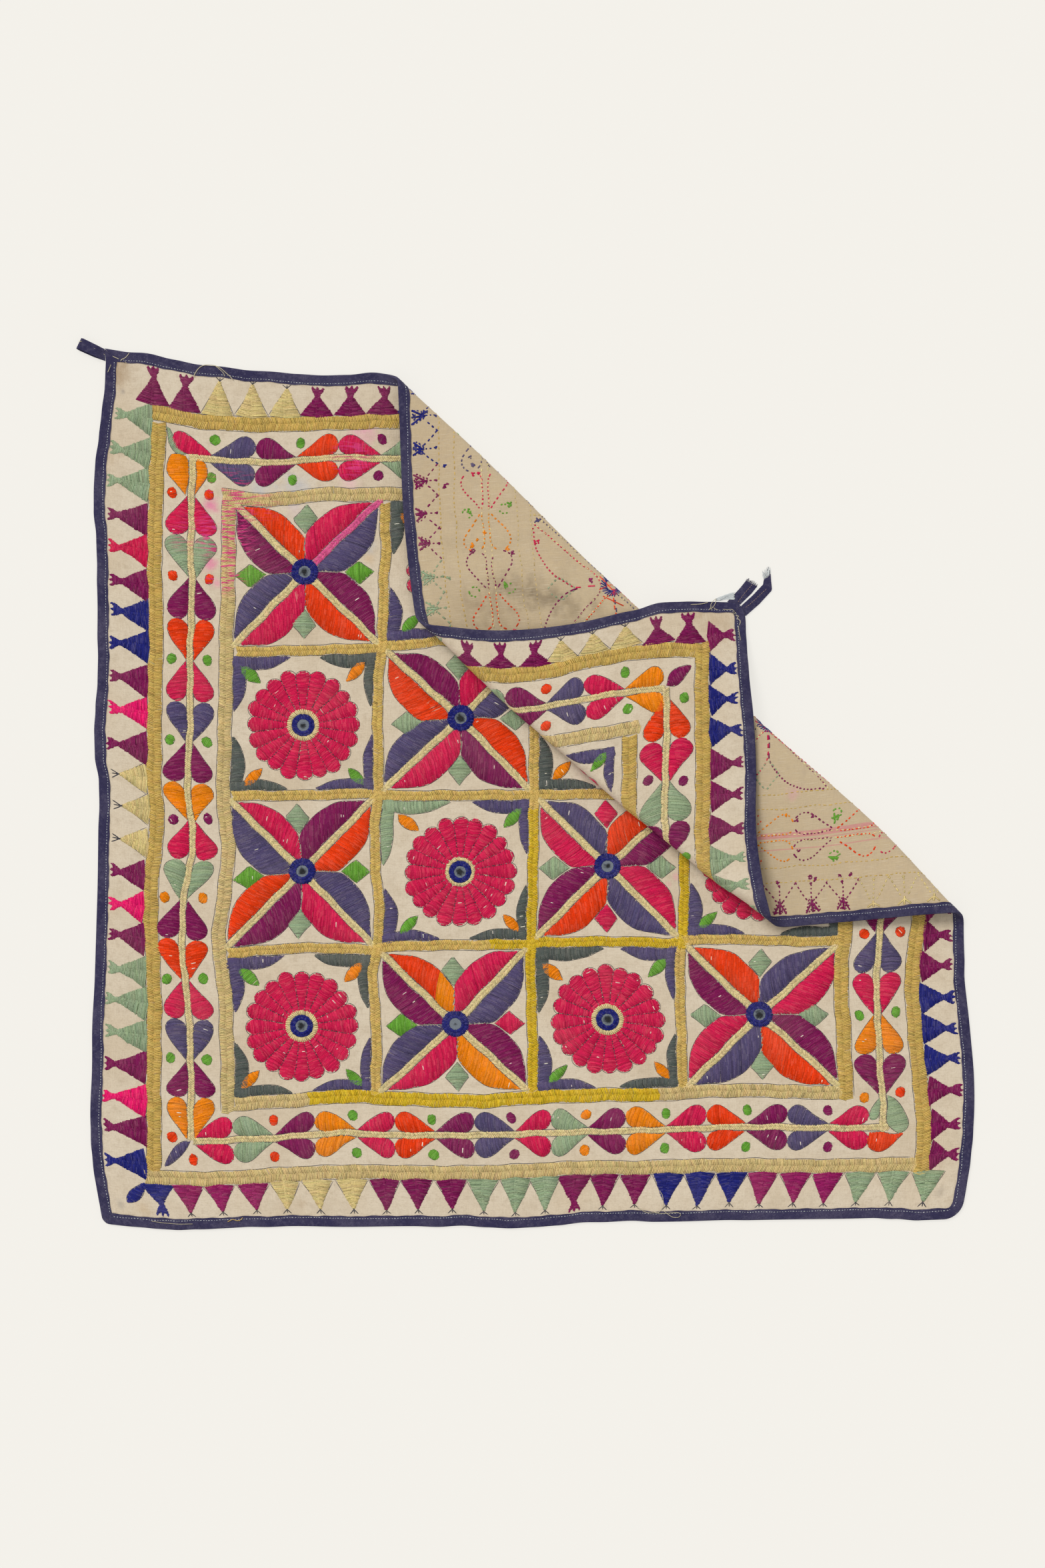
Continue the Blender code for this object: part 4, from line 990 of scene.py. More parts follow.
TRIANGLES_TOP = chart("""-420 purple, -385 purple, -349.4 straw, -312.8 straw, -277 straw, -243.4 purple,
    -207 purple, -172 purple, -140 blue, -108 blue, -74 blue, -39.4 purple, -5 purple, 27 purple,
    64 sage, 97 sage, 132 sage, 167 purple, 205 purple, 244 purple, 273 straw, 308 straw, 342 straw,
    376.6 purple, 411 purple""")
BASE_HALF = 17.2
FRAME_EDGE = 8.6            # from the middle of the outer frame to the feet of the triangles
TIP = 449.5
CROWN_TOP = 461.5


def triangle_row(middles, frame_line, out, leaves, bare_rise):
    """One side's triangles. out is the way that they point; leaves is the share that got theirs sewn, and
    bare_rise is how much higher the others come."""
    frame_line = np.array(frame_line)
    upright = out[0] != 0
    along_axis = 1 if upright else 0
    order = np.argsort(frame_line[:, along_axis])
    sign = out[0] if upright else out[1]
    for number, (middle, thread) in enumerate(middles):
        foot = np.interp(middle, frame_line[order, along_axis], frame_line[order, 1 - along_axis])
        foot = abs(foot) + FRAME_EDGE
        sewn = thread != "straw" and (number * 0.618 % 1.0) < leaves
        tip = TIP + 1.2 * np.sin(middle) + (0 if sewn else bare_rise)
        half = BASE_HALF * (1 + 0.03 * np.sin(middle * 0.7))

        def spot(aside, forward):
            """Sideways from the triangle's middle, and outward from the hanging's middle."""
            place = (sign * forward, middle + aside) if upright else (middle + aside, sign * forward)
            return wander(np.array([place]))[0]

        rows = int((tip - foot) / 1.42)
        sides = {-1: [], 1: []}
        for i in range(rows):
            forward = foot + (tip - foot) * (i + 0.5) / rows
            reach = (half - 1.6) * (1 - (i + 0.35) / rows) + (2.8 if sewn else 1.4)
            for aside in (-1, 1):
                edge = spot(aside * reach, forward)
                stitch(edge, spot(-aside * min(2.1, reach * 0.35), forward - 1.9), thread, 2.3, 0.6,
                       0.0, 0.35)
                sides[aside].append(edge)
        for aside in (-1, 1):
            back_run(sides[aside], thread)
            ink([spot(aside * (half + 0.8), foot), spot(aside * half * 0.5, (foot + tip) / 2), spot(0,
                                                                                                    tip)])
        back_run([spot(0, foot + 3 + 1.5 * k) for k in range(int((tip - foot - 3) / 1.5))], thread)
        back_marks.append((spot(-1.5, foot + 2), spot(2.0, foot + 3.5), thread, 3.0))
        reach = max(CROWN_TOP - tip, 4.5)
        for aside in (-1, 1):
            if sewn:
                leaf = [spot(0, tip - 3), spot(aside * 2.8, tip - 2), spot(aside * 4.0, tip + reach
                                                                           * 0.16),
                        spot(aside * 6.4, tip + reach * 0.52), spot(aside * 7.4, tip + reach * 0.86),
                        spot(aside * 5.6, tip + reach * 0.98), spot(aside * 3.2, tip + reach * 0.76),
                        spot(aside * 0.4, tip + reach * 0.62)]
                fill(shape(leaf, 4), 90 if upright else 0, thread, pitch=1.2, inked=False)
            else:
                for more in (-0.3, 0.3):
                    ink([spot(more - aside, tip - 1), spot(more + aside * 2.2, tip + reach * 0.4),
                         spot(more + aside * 4.6, tip + reach * 0.85)], 2.0)
            back_marks.append((spot(0, tip), spot(aside * 7.5, tip + reach), thread, 2.6))
        if sewn:
            leaf = [spot(-1.6, tip - 3), spot(-3.0, tip + reach * 0.5), spot(0, tip + reach * 1.04),
                    spot(3.0, tip + reach * 0.5), spot(1.6, tip - 3)]
            fill(shape(leaf, 4), 90 if upright else 0, thread, pitch=1.2, inked=False)
        else:
            for more in (-0.3, 0.3):
                ink([spot(more, tip), spot(more + 0.3, tip + reach * 0.8)], 2.0)
        back_marks.append((spot(0, tip - 3), spot(0, tip + reach), thread, 3.2))


triangle_row(TRIANGLES_LEFT, OUTER_LEFT, (-1, 0), 1.0, 1)
triangle_row(TRIANGLES_RIGHT, OUTER_RIGHT, (1, 0), 1.0, 7)
triangle_row(TRIANGLES_TOP, OUTER_TOP, (0, 1), 1.0, 9)
triangle_row(TRIANGLES_BOTTOM, OUTER_BOTTOM, (0, -1), 0.12, 7)
fill(shape(((-423, -427), (-430, -430), (-440, -437), (-445, -446), (-444, -450), (-435, -447), (-428,
                                                                                                 -441),
            (-424, -434))), -20, "blue")
triangles = sew("stitched_triangles", 31)
triangles.data.materials.append(floss.material)
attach(triangles, "root")

# Squares with four petals: each petal runs from the mirror to a corner of its square, and is split
# lengthwise by a cream rib into two blades of different threads. Small diamonds stand between petals.
UPRIGHTS = (INNER_LEFT, BAR_1, BAR_2, BAR_3, INNER_RIGHT)
LEVELS = (INNER_TOP, ROW_1, ROW_2, ROW_3, INNER_BOTTOM)
UPRIGHT_HALF = (7.8, 5.9, 5.9, 5.9, 8.2)
LEVEL_HALF = (7.7, 5.9, 5.9, 5.9, 7.7)


def on_line(line, axis, at):
    """Where a drawn line is, at a place along it."""
    line = np.array(line, float)
    order = np.argsort(line[:, axis])
    return np.interp(at, line[order, axis], line[order, 1 - axis])


def corner(row, column, side_x, side_y):
    """The inner corner of a square, between its frame and bars."""
    x, y = MIRRORS[row][column]
    x, y = x + side_x * 70, y + side_y * 70
    upright, level = column + (side_x > 0), row + (side_y < 0)
    for _ in range(3):
        x = on_line(UPRIGHTS[upright], 1, y) - side_x * UPRIGHT_HALF[upright]
        y = on_line(LEVELS[level], 0, x) - side_y * LEVEL_HALF[level]
    return np.array([x, y])


# Threads of the eight blades, clockwise from north, then of the north, east, south and west diamonds
FOUR_PETALS = {
    (0, 0): ("crimson slate purple orange crimson slate purple orange", "sage green sage green"),
    (0, 2): ("purple orange slate crimson purple orange slate crimson", "sage sage sage sage"),
    (1, 1): ("crimson slate orange purple crimson slate orange purple", "sage sage sage sage"),
    (1, 3): ("slate crimson purple orange slate crimson purple orange", "sage sage sage sage"),
    (2, 0): ("purple orange slate crimson purple orange slate crimson", "sage green sage green"),
    (2, 2): ("orange purple crimson slate orange purple crimson slate", "crimson sage crimson sage"),
    (3, 1): ("crimson slate purple amber crimson slate purple orange", "sage crimson sage green"),
    (3, 3): ("slate crimson purple orange slate crimson purple orange", "sage sage sage sage"),
}
# How far each axis leans at its diamond, in millimetres: north, east, south, west
LEANS = {(0, 0): (0, 0, -1, -7), (2, 0): (-6.5, 0, -2, -9), (3, 1): (-1.5, 1, 2, -2), (3, 3): (4.5, -3,
                                                                                               0, 0),
         (1, 1): (-4, -1, -1, -6), (2, 2): (-3, 2, 0, -2), (0, 2): (0, 0, 0, 0), (1, 3): (0, 0, 0, 0)}
# A blade's outer edge in its quarter of the square: from the mirror along the axis, then out to the corner
BLADE_EDGE = ((0.005, 0.14), (0.008, 0.34), (0.010, 0.50), (0.065, 0.605), (0.18, 0.74), (0.30, 0.85),
              (0.45, 0.93), (0.62, 0.970), (0.78, 0.975), (0.89, 0.985))
PETAL_RIB_HALF = 3.9
for (row, column), (blades, diamonds) in FOUR_PETALS.items():
    middle = np.array(MIRRORS[row][column])
    for number, thread in enumerate(diamonds.split()):
        out = heading(90 - 90 * number)
        aside = np.abs([out[1], out[0]])
        lean = LEANS[row, column][number]
        outline = [middle + out * u + aside * (v + lean * u / 66) for u, v in ((42, 0), (59, -13), (75,
                                                                                                    0),
                                                                                                    (59,
                                                                                                     13))]
        sharp = np.concatenate([np.linspace(a, b, 9)[:-1] for a, b in zip(outline, outline[1:]
                                                                          + outline[:1])])
        fill(sharp, 0 if number % 2 == 0 else 90 + 4, thread, pitch=1.35)
    for number, thread in enumerate(blades.split()):
        quarter = number // 2
        side_x, side_y = ((1, 1), (1, -1), (-1, -1), (-1, 1))[quarter]
        end = corner(row, column, side_x, side_y)
        size = np.abs(end - middle)
        # Odd quarters go round the other way, so their first blade lies beside the level axis
        upright_blade = number in (0, 3, 4, 7)
        diagonal = (end - middle) / np.linalg.norm(end - middle)
        normal = np.array([-diagonal[1], diagonal[0]])
        toward = np.array([0, side_y]) if upright_blade else np.array([side_x, 0])
        normal = normal if normal @ toward > 0 else -normal
        outline = []
        for a, b in BLADE_EDGE:
            share = np.array([a, b]) if upright_blade else np.array([b, a])
            spot = middle + share * size * (side_x, side_y)
            axis = (0 if side_y > 0 else 2) if upright_blade else (1 if side_x > 0 else 3)
            lean = LEANS[row, column][axis]
            spot = spot + np.array([lean, 0] if upright_blade else [0, lean]) * 1.17 * b * (1 - a) ** 2
            off = (spot - middle) @ normal
            outline.append(spot + normal * max(0.0, PETAL_RIB_HALF + 0.5 - off))
        reach = np.linalg.norm(end - middle)
        for along in (0.90, 0.6, 0.35, 0.15):
            outline.append(middle + diagonal * reach * along + normal * (PETAL_RIB_HALF + 0.2))
        turn = np.degrees(np.arctan2(diagonal[1], diagonal[0]))
        swing = 90 if normal @ np.array([-diagonal[1], diagonal[0]]) > 0 else -90
        lean = (36 if upright_blade else 18) + 8 * np.sin(number * 2.1 + row + column)
        lean = lean if (normal @ [-diagonal[1], diagonal[0]] > 0) == (normal @ toward > 0.9) else -lean
        amber_end = (middle, 46, "amber") if (row, column, number) == (3, 1, 7) else None
        fill(shape(outline, 5), turn + swing + lean, thread, change=amber_end)
    for side_x, side_y in ((1, 1), (1, -1), (-1, -1), (-1, 1)):
        end = corner(row, column, side_x, side_y)
        diagonal = (end - middle) / np.linalg.norm(end - middle)
        stained = (row, column, side_x, side_y) == (0, 0, 1, 1)
        crossed_band([middle + diagonal * 13, (middle + end) / 2, end - diagonal * 1.0], 2
                     * PETAL_RIB_HALF,
                     "stained" if stained else "cream", pitch=1.85, slant=0.72)
petals = sew("stitched_four_petals", 41, bow=0.06)
petals.data.materials.append(floss.material)
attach(petals, "root")

# Squares with a round flower: twenty petals sewn across in crimson round a cream ring, with a leaf
# and a long L-shaped leaf against the bars in each corner.
PETALS = 20
FLOWER_RADIUS = 61.0
# Thread of the long leaf and the small leaf, for the corners NE, SE, SW and NW
ROUND_FLOWERS = {
    (0, 1): "slate green spruce amber slate green spruce amber",
    (0, 3): "slate green spruce amber slate green spruce amber",
    (1, 0): "spruce amber slate green spruce amber slate green",
    (1, 2): "spruce amber slate green spruce amber slate green",
    (2, 1): "slate green spruce amber slate green sage amber",
    (2, 3): "slate green spruce amber slate green spruce amber",
    (3, 0): "spruce amber slate green spruce amber slate green",
    (3, 2): "slate green spruce amber slate green spruce amber",
}
# Outer and inner ends of the small leaves, from the flower's middle
SMALL_LEAF_BASES = ((66.5, 71), (65.5, -67), (-64.5, -69), (-69.5, 64))
SMALL_LEAF_TIPS = ((45.5, 48.5), (47.5, -46.5), (-45, -48.8), (-46, 44.5))
for (row, column), threads in ROUND_FLOWERS.items():
    middle = np.array(MIRRORS[row][column])
    threads = threads.split()
    for number in range(PETALS):
        turn = 360 / PETALS * (number + 0.03) + 0.9 * np.sin(number * 1.7 + row)
        out = heading(turn)
        aside = np.array([-out[1], out[0]])
        radius = FLOWER_RADIUS * (1 + 0.018 * np.sin(number * 2.3 + column))
        half_angle = pi / PETALS * 1.13
        cap = radius * np.sin(half_angle) / (1 + np.sin(half_angle))
        outline = [middle + out * r * np.cos(half_angle) + aside * r * np.sin(half_angle)
                   for r in (17.0, 27, 39, 50)]
        outline += [middle + out * (radius - cap + cap * np.cos(a)) + aside * cap * np.sin(a)
                    for a in np.radians((75, 45, 15, -15, -45, -75))]
        outline += [middle + out * r * np.cos(half_angle) - aside * r * np.sin(half_angle)
                    for r in (50, 39, 27, 17.0)]
        fill(shape(outline, 5), turn + 90 + 5, "crimson", pitch=1.34, inked=False)
        edge = heading(turn + 180 / PETALS)
        for step, r in enumerate(np.arange(19, radius - 7, 2.6)):
            stitch(middle + edge * r, middle + edge * (r + 1.9), "ink" if step % 4 else "worn", 1.5,
                   0.5, 0.36, 0.36)
        ink([middle + out * (radius - cap + (cap + 0.6) * np.cos(a)) + aside * (cap + 0.6) * np.sin(a)
             for a in np.radians((80, 48, 16, -16, -48, -80))], 3.0)
    ring_out = 16.4 if (row, column) == (2, 1) else 18.2
    for number in range(50):
        out, twist = heading(number * 7.2), heading(number * 7.2 + 7)
        stitch(middle + out * 12.0, middle + twist * ring_out, "cream", 2.6, 0.7, 0.1, 0.3)
    for number, (side_x, side_y) in enumerate(((1, 1), (1, -1), (-1, -1), (-1, 1))):
        end = corner(row, column, side_x, side_y)
        long_leaf, small_leaf = threads[2 * number], threads[2 * number + 1]
        gap = 9.0 if (row, column, number) == (0, 3, 0) else 0.0
        longer = 1.2 if (row, column, number) in ((3, 2, 3), (2, 1, 3)) else 1.0
        for level in (True, False):
            length = (62 - gap if level else 60 - gap) * longer
            thick = (14.5 if side_y > 0 else 11.5) if level else (14.5 if side_x < 0 else 10.5)
            outline = []
            for along, share in ((0.0, 0.0), (0.25, 0.0), (0.5, 0.0), (0.75, 0.0), (1.0, 0.08), (0.90,
                                                                                                 0.42),
                                 (0.76, 0.76), (0.58, 0.98), (0.40, 1.0), (0.18, 0.90), (0.0, 0.80)):
                shift = np.array([-side_x * along * length, 0]) if level else np.array([0, -side_y
                                                                                        * along * length])
                spot = end + shift - np.array([side_x, side_y]) * gap
                if level:
                    line = LEVELS[row + (side_y < 0)]
                    spot[1] = on_line(line, 0, spot[0]) - side_y * (LEVEL_HALF[row + (side_y < 0)] + gap
                                                                    + share * thick)
                else:
                    line = UPRIGHTS[column + (side_x > 0)]
                    spot[0] = on_line(line, 1, spot[1]) - side_x * (UPRIGHT_HALF[column + (side_x > 0)]
                                                                    + gap + share * thick)
                outline.append(spot)
            fill(shape(outline, 4), 96 if level else 8, long_leaf)
        base = middle + SMALL_LEAF_BASES[number] - np.array([side_x, side_y]) * gap * 0.3
        inward = (middle + SMALL_LEAF_TIPS[number] - base) / 30
        aside = np.array([-inward[1], inward[0]])
        leaf = [base + inward * u + aside * v for u, v in
                ((0, 0), (6, 4.6), (13, 6.4), (20, 5.4), (30, 0), (21, -4.8), (13, -6.2), (6, -5.0))]
        sharp = np.concatenate([smooth_line(leaf[:5], 2)[:-1], smooth_line(leaf[4:] + leaf[:1], 2)[:-1]])
        fill(sharp, np.degrees(np.arctan2(inward[1], inward[0])) + 82, small_leaf)
flowers = sew("stitched_round_flowers", 51, bow=0.06)
flowers.data.materials.append(floss.material)
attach(flowers, "root")

# Mirrors: old silvered glass discs, each held by a thick raised ring of royal blue stitches that climb
# over its edge, in an inner and an outer row.
GLASS_SHOWS, INNER_ROW, OUTER_ROW = 6.3, 10.4, 9.4      # radii where the rows of stitches begin or meet
RING_IN_PETALS, RING_IN_FLOWER = 15.2, 12.9
for row in range(4):
    for column in range(4):
        middle = np.array(MIRRORS[row][column])
        outer = RING_IN_PETALS if (row, column) in FOUR_PETALS else RING_IN_FLOWER
        for number in range(46):
            turn = number * 360 / 46
            stitch(middle + heading(turn) * OUTER_ROW, middle + heading(turn + 3) * outer, "blue", 2.2,
                   0.7, 1.5, 0.1)
        for number in range(38):
            turn = number * 360 / 38 + 3
            stitch(middle + heading(turn) * GLASS_SHOWS, middle + heading(turn + 4) * INNER_ROW, "blue",
                   2.0, 0.6, 1.8, 1.6)
rings = sew("mirror_rings", 61, rough=0.6)
rings.data.materials.append(floss.material)
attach(rings, "root")

silver = Nodes("old_silvered_glass", {"Roughness": 0.22, "Metallic": 0.35, "Specular IOR Level": 0.4})
spot = silver.node("ShaderNodeTexCoord").outputs
# Painted reflection: each disc is dark in the middle and grey-blue towards its rim, as a mirror facing
# straight up looks; the clouds give the old silvering's patchy edge
clouds = silver.spread(silver.noise(spot["Object"], 260.0, 3.0, 0.6), 0.30, 0.70)
from_middle = silver.node("ShaderNodeVectorMath", {0: spot["Generated"], 1: (0.5, 0.5, 0.5)},
                          operation="SUBTRACT").outputs["Vector"]
level = silver.node("ShaderNodeVectorMath", {0: from_middle, 1: (1.0, 1.0, 0.0)}, operation="MULTIPLY")
reach = silver.node("ShaderNodeVectorMath", {0: level.outputs["Vector"]},
                    operation="LENGTH").outputs["Value"]
reach = silver.maths("ADD", reach, silver.maths("MULTIPLY", clouds, 0.16))
dark_reflection_reach = silver.spread(silver.noise(spot["Object"], 9.0, 0.0), 0.36, 0.60, 0.04, 0.28)
reach = silver.maths("SUBTRACT", reach, dark_reflection_reach)
shade = silver.mix(silver.spread(reach, -0.04, 0.24), rgb(26, 28, 32), rgb(122, 130, 140))
grit = silver.spread(silver.noise(spot["Object"], 1400.0, 2.0), 0.50, 0.72, 0.0, 0.5)
shade = silver.mix(grit, shade, rgb(84, 90, 92))
silver.link(shade, "Base Color")
silver.bump(silver.noise(spot["Object"], 300.0, 2.0), 0.3, 0.0006)
for row in range(1, 5):
    for column in range(1, 5):
        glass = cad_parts[f"mirror_r{row}_c{column}"]
        glass.data.materials.clear()
        glass.data.materials.append(silver.material)

# Drawn pattern: before any sewing the motifs were drawn on the cotton in dark ink. The lines still
# show beside the stitches. They are thin lines that lie on the cloth.
INK_LIFT = CLOTH * 500 + 0.03
drawing = lay_lines("drawn_pattern", [
    (np.column_stack([line, np.full(len(line), INK_LIFT)]), 0.85, 0.2, "ink") for line in drawn], 71)
pen = Nodes("drawing_ink", {"Roughness": 0.90, "Specular IOR Level": 0.1})
dye = pen.attribute("dye", "Color")
spot = pen.node("ShaderNodeTexCoord").outputs["Object"]
faded = pen.spread(pen.noise(spot, 90.0, 2.0), 0.45, 0.75, 0.0, 0.40)
pen.link(pen.mix(faded, dye, rgb(150, 140, 128)), "Base Color")
drawing.data.materials.append(pen.material)
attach(drawing, "root")

# Back of the work: each thread shows only in small steps along the drawn outlines, with heavier
# bunches behind the triangles' leaves. It is made where the cloth is turned over.
TURNED = 0.212
# Knots and bunched ends of thread: x, y, size, thread
KNOTS = chart("""-111 447 7 blue, -69 453 8 blue, -54 426 5 blue, -33 426 7 purple, -36 456 9 purple,
    -6 456 8 purple, 27 459 6 purple, 63 459 9 sage, 66 432 5 sage, -60 399 4 slate, -51 396 6 slate,
    -42 396 5 crimson, -42 390 4 crimson, -3 402 6 green, -6 357 6 green, 21 387 4 amber,
    27 396 4 amber, 33 402 6 amber, 39 363 6 amber, 39 402 7 purple, 45 357 6 purple, 78 369 7 green,
    36 330 8 crimson, 12 327 7 slate, 81 273 7 magenta, 96 249 8 crimson, 363 12 11 green,
    402 12 12 green, 354 66 4 amber, 360 54 5 purple, 357 36 5 purple, 393 51 5 purple, 426 75 6 purple,
    423 39 6 purple, 426 33 6 purple, 423 6 6 purple, 423 -6 5 purple""")
for x, y, size, thread in KNOTS:
    for _ in range(5):
        spot = np.array([x, y]) + chance.uniform(-0.3, 0.3, 2) * size
        reach = heading(chance.uniform(0, 180)) * size * chance.uniform(0.22, 0.42)
        back_marks.append((spot - reach, spot + reach, thread, 2.2))
for middle in np.reshape(MIRRORS, (16, 2)):
    for number in range(26):
        near, far = heading(number * 360 / 26), heading((number + 2.6) * 360 / 26)
        back_marks.append((middle + near * 6, middle + far * 13, "blue", 1.7))
for start, end in (((77, 263), (99, 246)), ((85, 243), (92, 265)), ((99, 262), (112, 240))):
    back_marks.append((np.array(start), np.array(end), "orange", 1.6))
back_run(smooth_line(((249, 105), (284, 62), (321, 21)), 1.9), "crimson")
for start, end, thread, width in back_marks:
    if (start * 0.001) @ ACROSS_1 > TURNED:
        stitch(start, end, thread, width, 0.5, side=-1)
back = sew("back_of_the_work", 81)
back.data.materials.append(floss.material)
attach(back, "root")

# Bound edges: slate-blue cotton tape folded over the cut edge, one length for each side, mitred at
# the corners and held by a line of white running stitches through both of its edges.
TAPE_REACH = 0.0122
TAPE_IN = 0.00082           # the tape's inner face, from the cloth's middle layer
TAPE_OUT = 0.00150          # its outer face
MITRE_GAP = 0.0002
SIDES = (("tape_top", "binding_top", 0), ("tape_right", "binding_right", -90),
         ("tape_bottom", "binding_bottom", 180), ("tape_left", "binding_left", 90))

tape = Nodes("slate_blue_tape", {"Roughness": 0.88, "Specular IOR Level": 0.1, "Sheen Weight": 0.05,
                                 "Sheen Roughness": 0.5})
place = tape.attribute("flat")
shade = tape.mix(tape.spread(tape.noise(place, 26.0, 3.0), 0.35, 0.70), rgb(52, 49, 80),
                 rgb(71, 67, 93))
shade = tape.mix(tape.spread(tape.noise(place, 240.0, 3.0), 0.45, 0.75, 0.0, 0.5), shade,
                 rgb(94, 90, 112))
shade = tape.mix(tape.spread(tape.noise(place, 800.0, 2.0), 0.45, 0.70, 0.0, 0.5), shade,
                 rgb(34, 33, 56))
tape.link(shade, "Base Color")
rib_x = tape.noise(tape.stretched(place, (2400.0, 300.0, 300.0)), 1.0)
rib_y = tape.noise(tape.stretched(place, (300.0, 2400.0, 300.0)), 1.0)
tape.bump(tape.maths("ADD", rib_x, rib_y), 0.5, 0.0004)


def tape_section(steps=6):
    """The folded tape's section: how far in from the edge, and how high, all the way round it."""
    inward = np.linspace(0.0010, TAPE_REACH, steps)
    puff = np.interp(inward, (0, 0.003, 0.0070, 0.0094, 0.0110, TAPE_REACH), (0, 0.12, 0.20, -0.12,
                                                                              0.10, -0.05))
    outer = [(u, TAPE_OUT + p * 0.001) for u, p in zip(inward, puff)]
    bend = [(0.0010 - 0.0010 * np.sin(a), TAPE_OUT * np.cos(a)) for a in np.linspace(0, pi, 9)[1:-1]]
    inner = [(u, TAPE_IN) for u in inward]
    section = outer[::-1] + bend + [(u, -z) for u, z in outer]
    return section + [(u, -z) for u, z in inner[::-1]] + inner


section = tape_section()
for name, node, degrees in SIDES:
    turn = heading(degrees)
    count = 320
    bm = bmesh.new()
    bmesh.ops.create_grid(bm, x_segments=count, y_segments=len(section), size=1.0)
    caps = ([], [])
    for vert in bm.verts:
        across = int(round((vert.co.y + 1) / 2 * len(section))) % len(section)
        inward, height = section[across]
        along = vert.co.x * (HALF - inward - MITRE_GAP)
        ripple = 0.00038 * np.sin(vert.co.x * 61 + degrees) + 0.00026 * np.sin(vert.co.x * 163 + 2)
        inward = inward + ripple * (inward / TAPE_REACH)
        outward = HALF - inward
        vert.co = (turn[0] * along - turn[1] * outward, turn[1] * along + turn[0] * outward, height)
    mesh = tube_mesh(bm, name)
    lay_in_fold(mesh)
    mesh.set_sharp_from_angle(angle=1.1)
    mesh.materials.append(tape.material)
    piece = bpy.data.objects.new(name, mesh)
    bpy.context.collection.objects.link(piece)
    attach(piece, "root")
    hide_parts(node)

    # Running stitches: 2.6 mm from the tape's inner edge on the face, and a little less even behind
    for cloth_side, inset in ((1, 9.6), (-1, 8.4)):
        at = -462.0
        while at < 462.0:
            long = 1.9 + 0.7 * np.sin(at * 0.61 + degrees)
            wave = 0.45 * np.sin(at * 0.043 + degrees) + 0.2 * np.sin(at * 0.19)
            spots = [turn * (at + d) + np.array([-turn[1], turn[0]]) * (475 - inset - wave) for d in (0,
                                                                                                      long)]
            stitch(spots[0], spots[1], "lint", 0.8, 0.4, 0.75, 0.75, side=cloth_side)
            at += long + 1.15
tape_stitches = sew("tape_running_stitches", 91, rough=0.5)
tape_stitches.data.materials.append(floss.material)
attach(tape_stitches, "root")

# Hanging loop and torn loop: lengths of the same tape, sewn to the upper corners. The left one still
# makes a loop. The right one has torn through, and its two ends lie beside the folded corner.
LOOP_LENGTH, LOOP_WIDTH, LOOP_ANGLE, LOOP_TAPE = 0.0275, 0.0125, 154.0, 0.0006
LOOP_OPEN, LOOP_ROOT, LOOP_RISE, LOOP_SKEW = 0.0062, 0.0026, 0.0110, 0.0012
SEAM_GAP = 0.0004


def tape_strip(name, node, rows_of_edges, thick):
    """A strip of tape through pairs of edge points, each with its height and the way it faces."""
    rows_of_edges = np.array(rows_of_edges, float)
    count, steps = len(rows_of_edges), 6
    bm = bmesh.new()
    bmesh.ops.create_grid(bm, x_segments=count - 1, y_segments=2 * steps, size=1.0)
    for vert in bm.verts:
        i = int(round((vert.co.x + 1) / 2 * (count - 1)))
        j = int(round((vert.co.y + 1) / 2 * 2 * steps)) % (2 * steps)
        left, right, up = rows_of_edges[i]
        share = j / (steps - 1) if j < steps else 1 - (j - steps) / (steps - 1)
        face = 1 if j < steps else -1
        crown = 0.5 + 0.5 * np.sin(pi * share) ** 0.6
        vert.co = left * (1 - share) + right * share + up * face * thick / 2 * crown
    mesh = tube_mesh(bm, name)
    flat = np.empty(len(mesh.vertices) * 3)
    mesh.vertices.foreach_get("co", flat)
    mesh.attributes.new("flat", "FLOAT_VECTOR", "POINT").data.foreach_set("vector", flat)
    mesh.set_sharp_from_angle(angle=1.1)
    mesh.materials.append(tape.material)
    piece = bpy.data.objects.new(name, mesh)
    bpy.context.collection.objects.link(piece)
    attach(piece, "root")
    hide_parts(node)
    return piece


spots = fold(np.array([(-HALF, HALF, 0.0), (-HALF, HALF - 0.013, 0.0)]))[0][:, :2]
side = (spots[1] - spots[0]) / np.linalg.norm(spots[1] - spots[0])
out, square = heading(LOOP_ANGLE), heading(LOOP_ANGLE + 90)
root = spots[0] + side * 0.0006 + np.array([-SEAM_GAP, 0.0])
tip = root + out * LOOP_LENGTH
roots = (root, root + side * LOOP_WIDTH * 1.06)
tips = (tip, tip + square * LOOP_WIDTH)
bend = (LOOP_OPEN - LOOP_TAPE / 2) / 2
path = [(LOOP_RISE * s, LOOP_ROOT + (LOOP_OPEN - LOOP_ROOT) * ease(s), 0.0) for s in np.linspace(0, 1, 9)]
path += [(LOOP_LENGTH - bend + bend * np.sin(a), LOOP_TAPE / 2 + bend + bend * np.cos(a), a / pi)
         for a in np.linspace(0, pi, 13)]
path += [(LOOP_RISE * s, LOOP_TAPE / 2, 1.0) for s in (1.0, 0.5, 0.0)]
loop_rows = []
for i, (distance, height, turned) in enumerate(path):
    before, after = path[max(i - 1, 0)], path[min(i + 1, len(path) - 1)]
    run = np.array([after[0] - before[0], after[1] - before[1]])
    run /= np.linalg.norm(run)
    edges = []
    for edge in (0, 1):
        spot = roots[edge] + (tips[edge] - roots[edge]) * distance / LOOP_LENGTH
        spot = spot + square * LOOP_SKEW * turned * min(1.0, distance / 0.010)
        edges.append((*spot, height))
    up = (*(out * -run[1]), run[0])
    loop_rows.append((edges[0], edges[1], up))
loop = tape_strip("hanging_loop", "loop_tab", loop_rows, LOOP_TAPE)

UP = (0.0, 0.0, 1.0)
TAIL_THICK = 0.0012


def at_edge(x, y):
    """Where a place just outside the binding's edge lies, seen from above."""
    return fold(np.array([(x, y, 0.0)]))[0][0, :2]


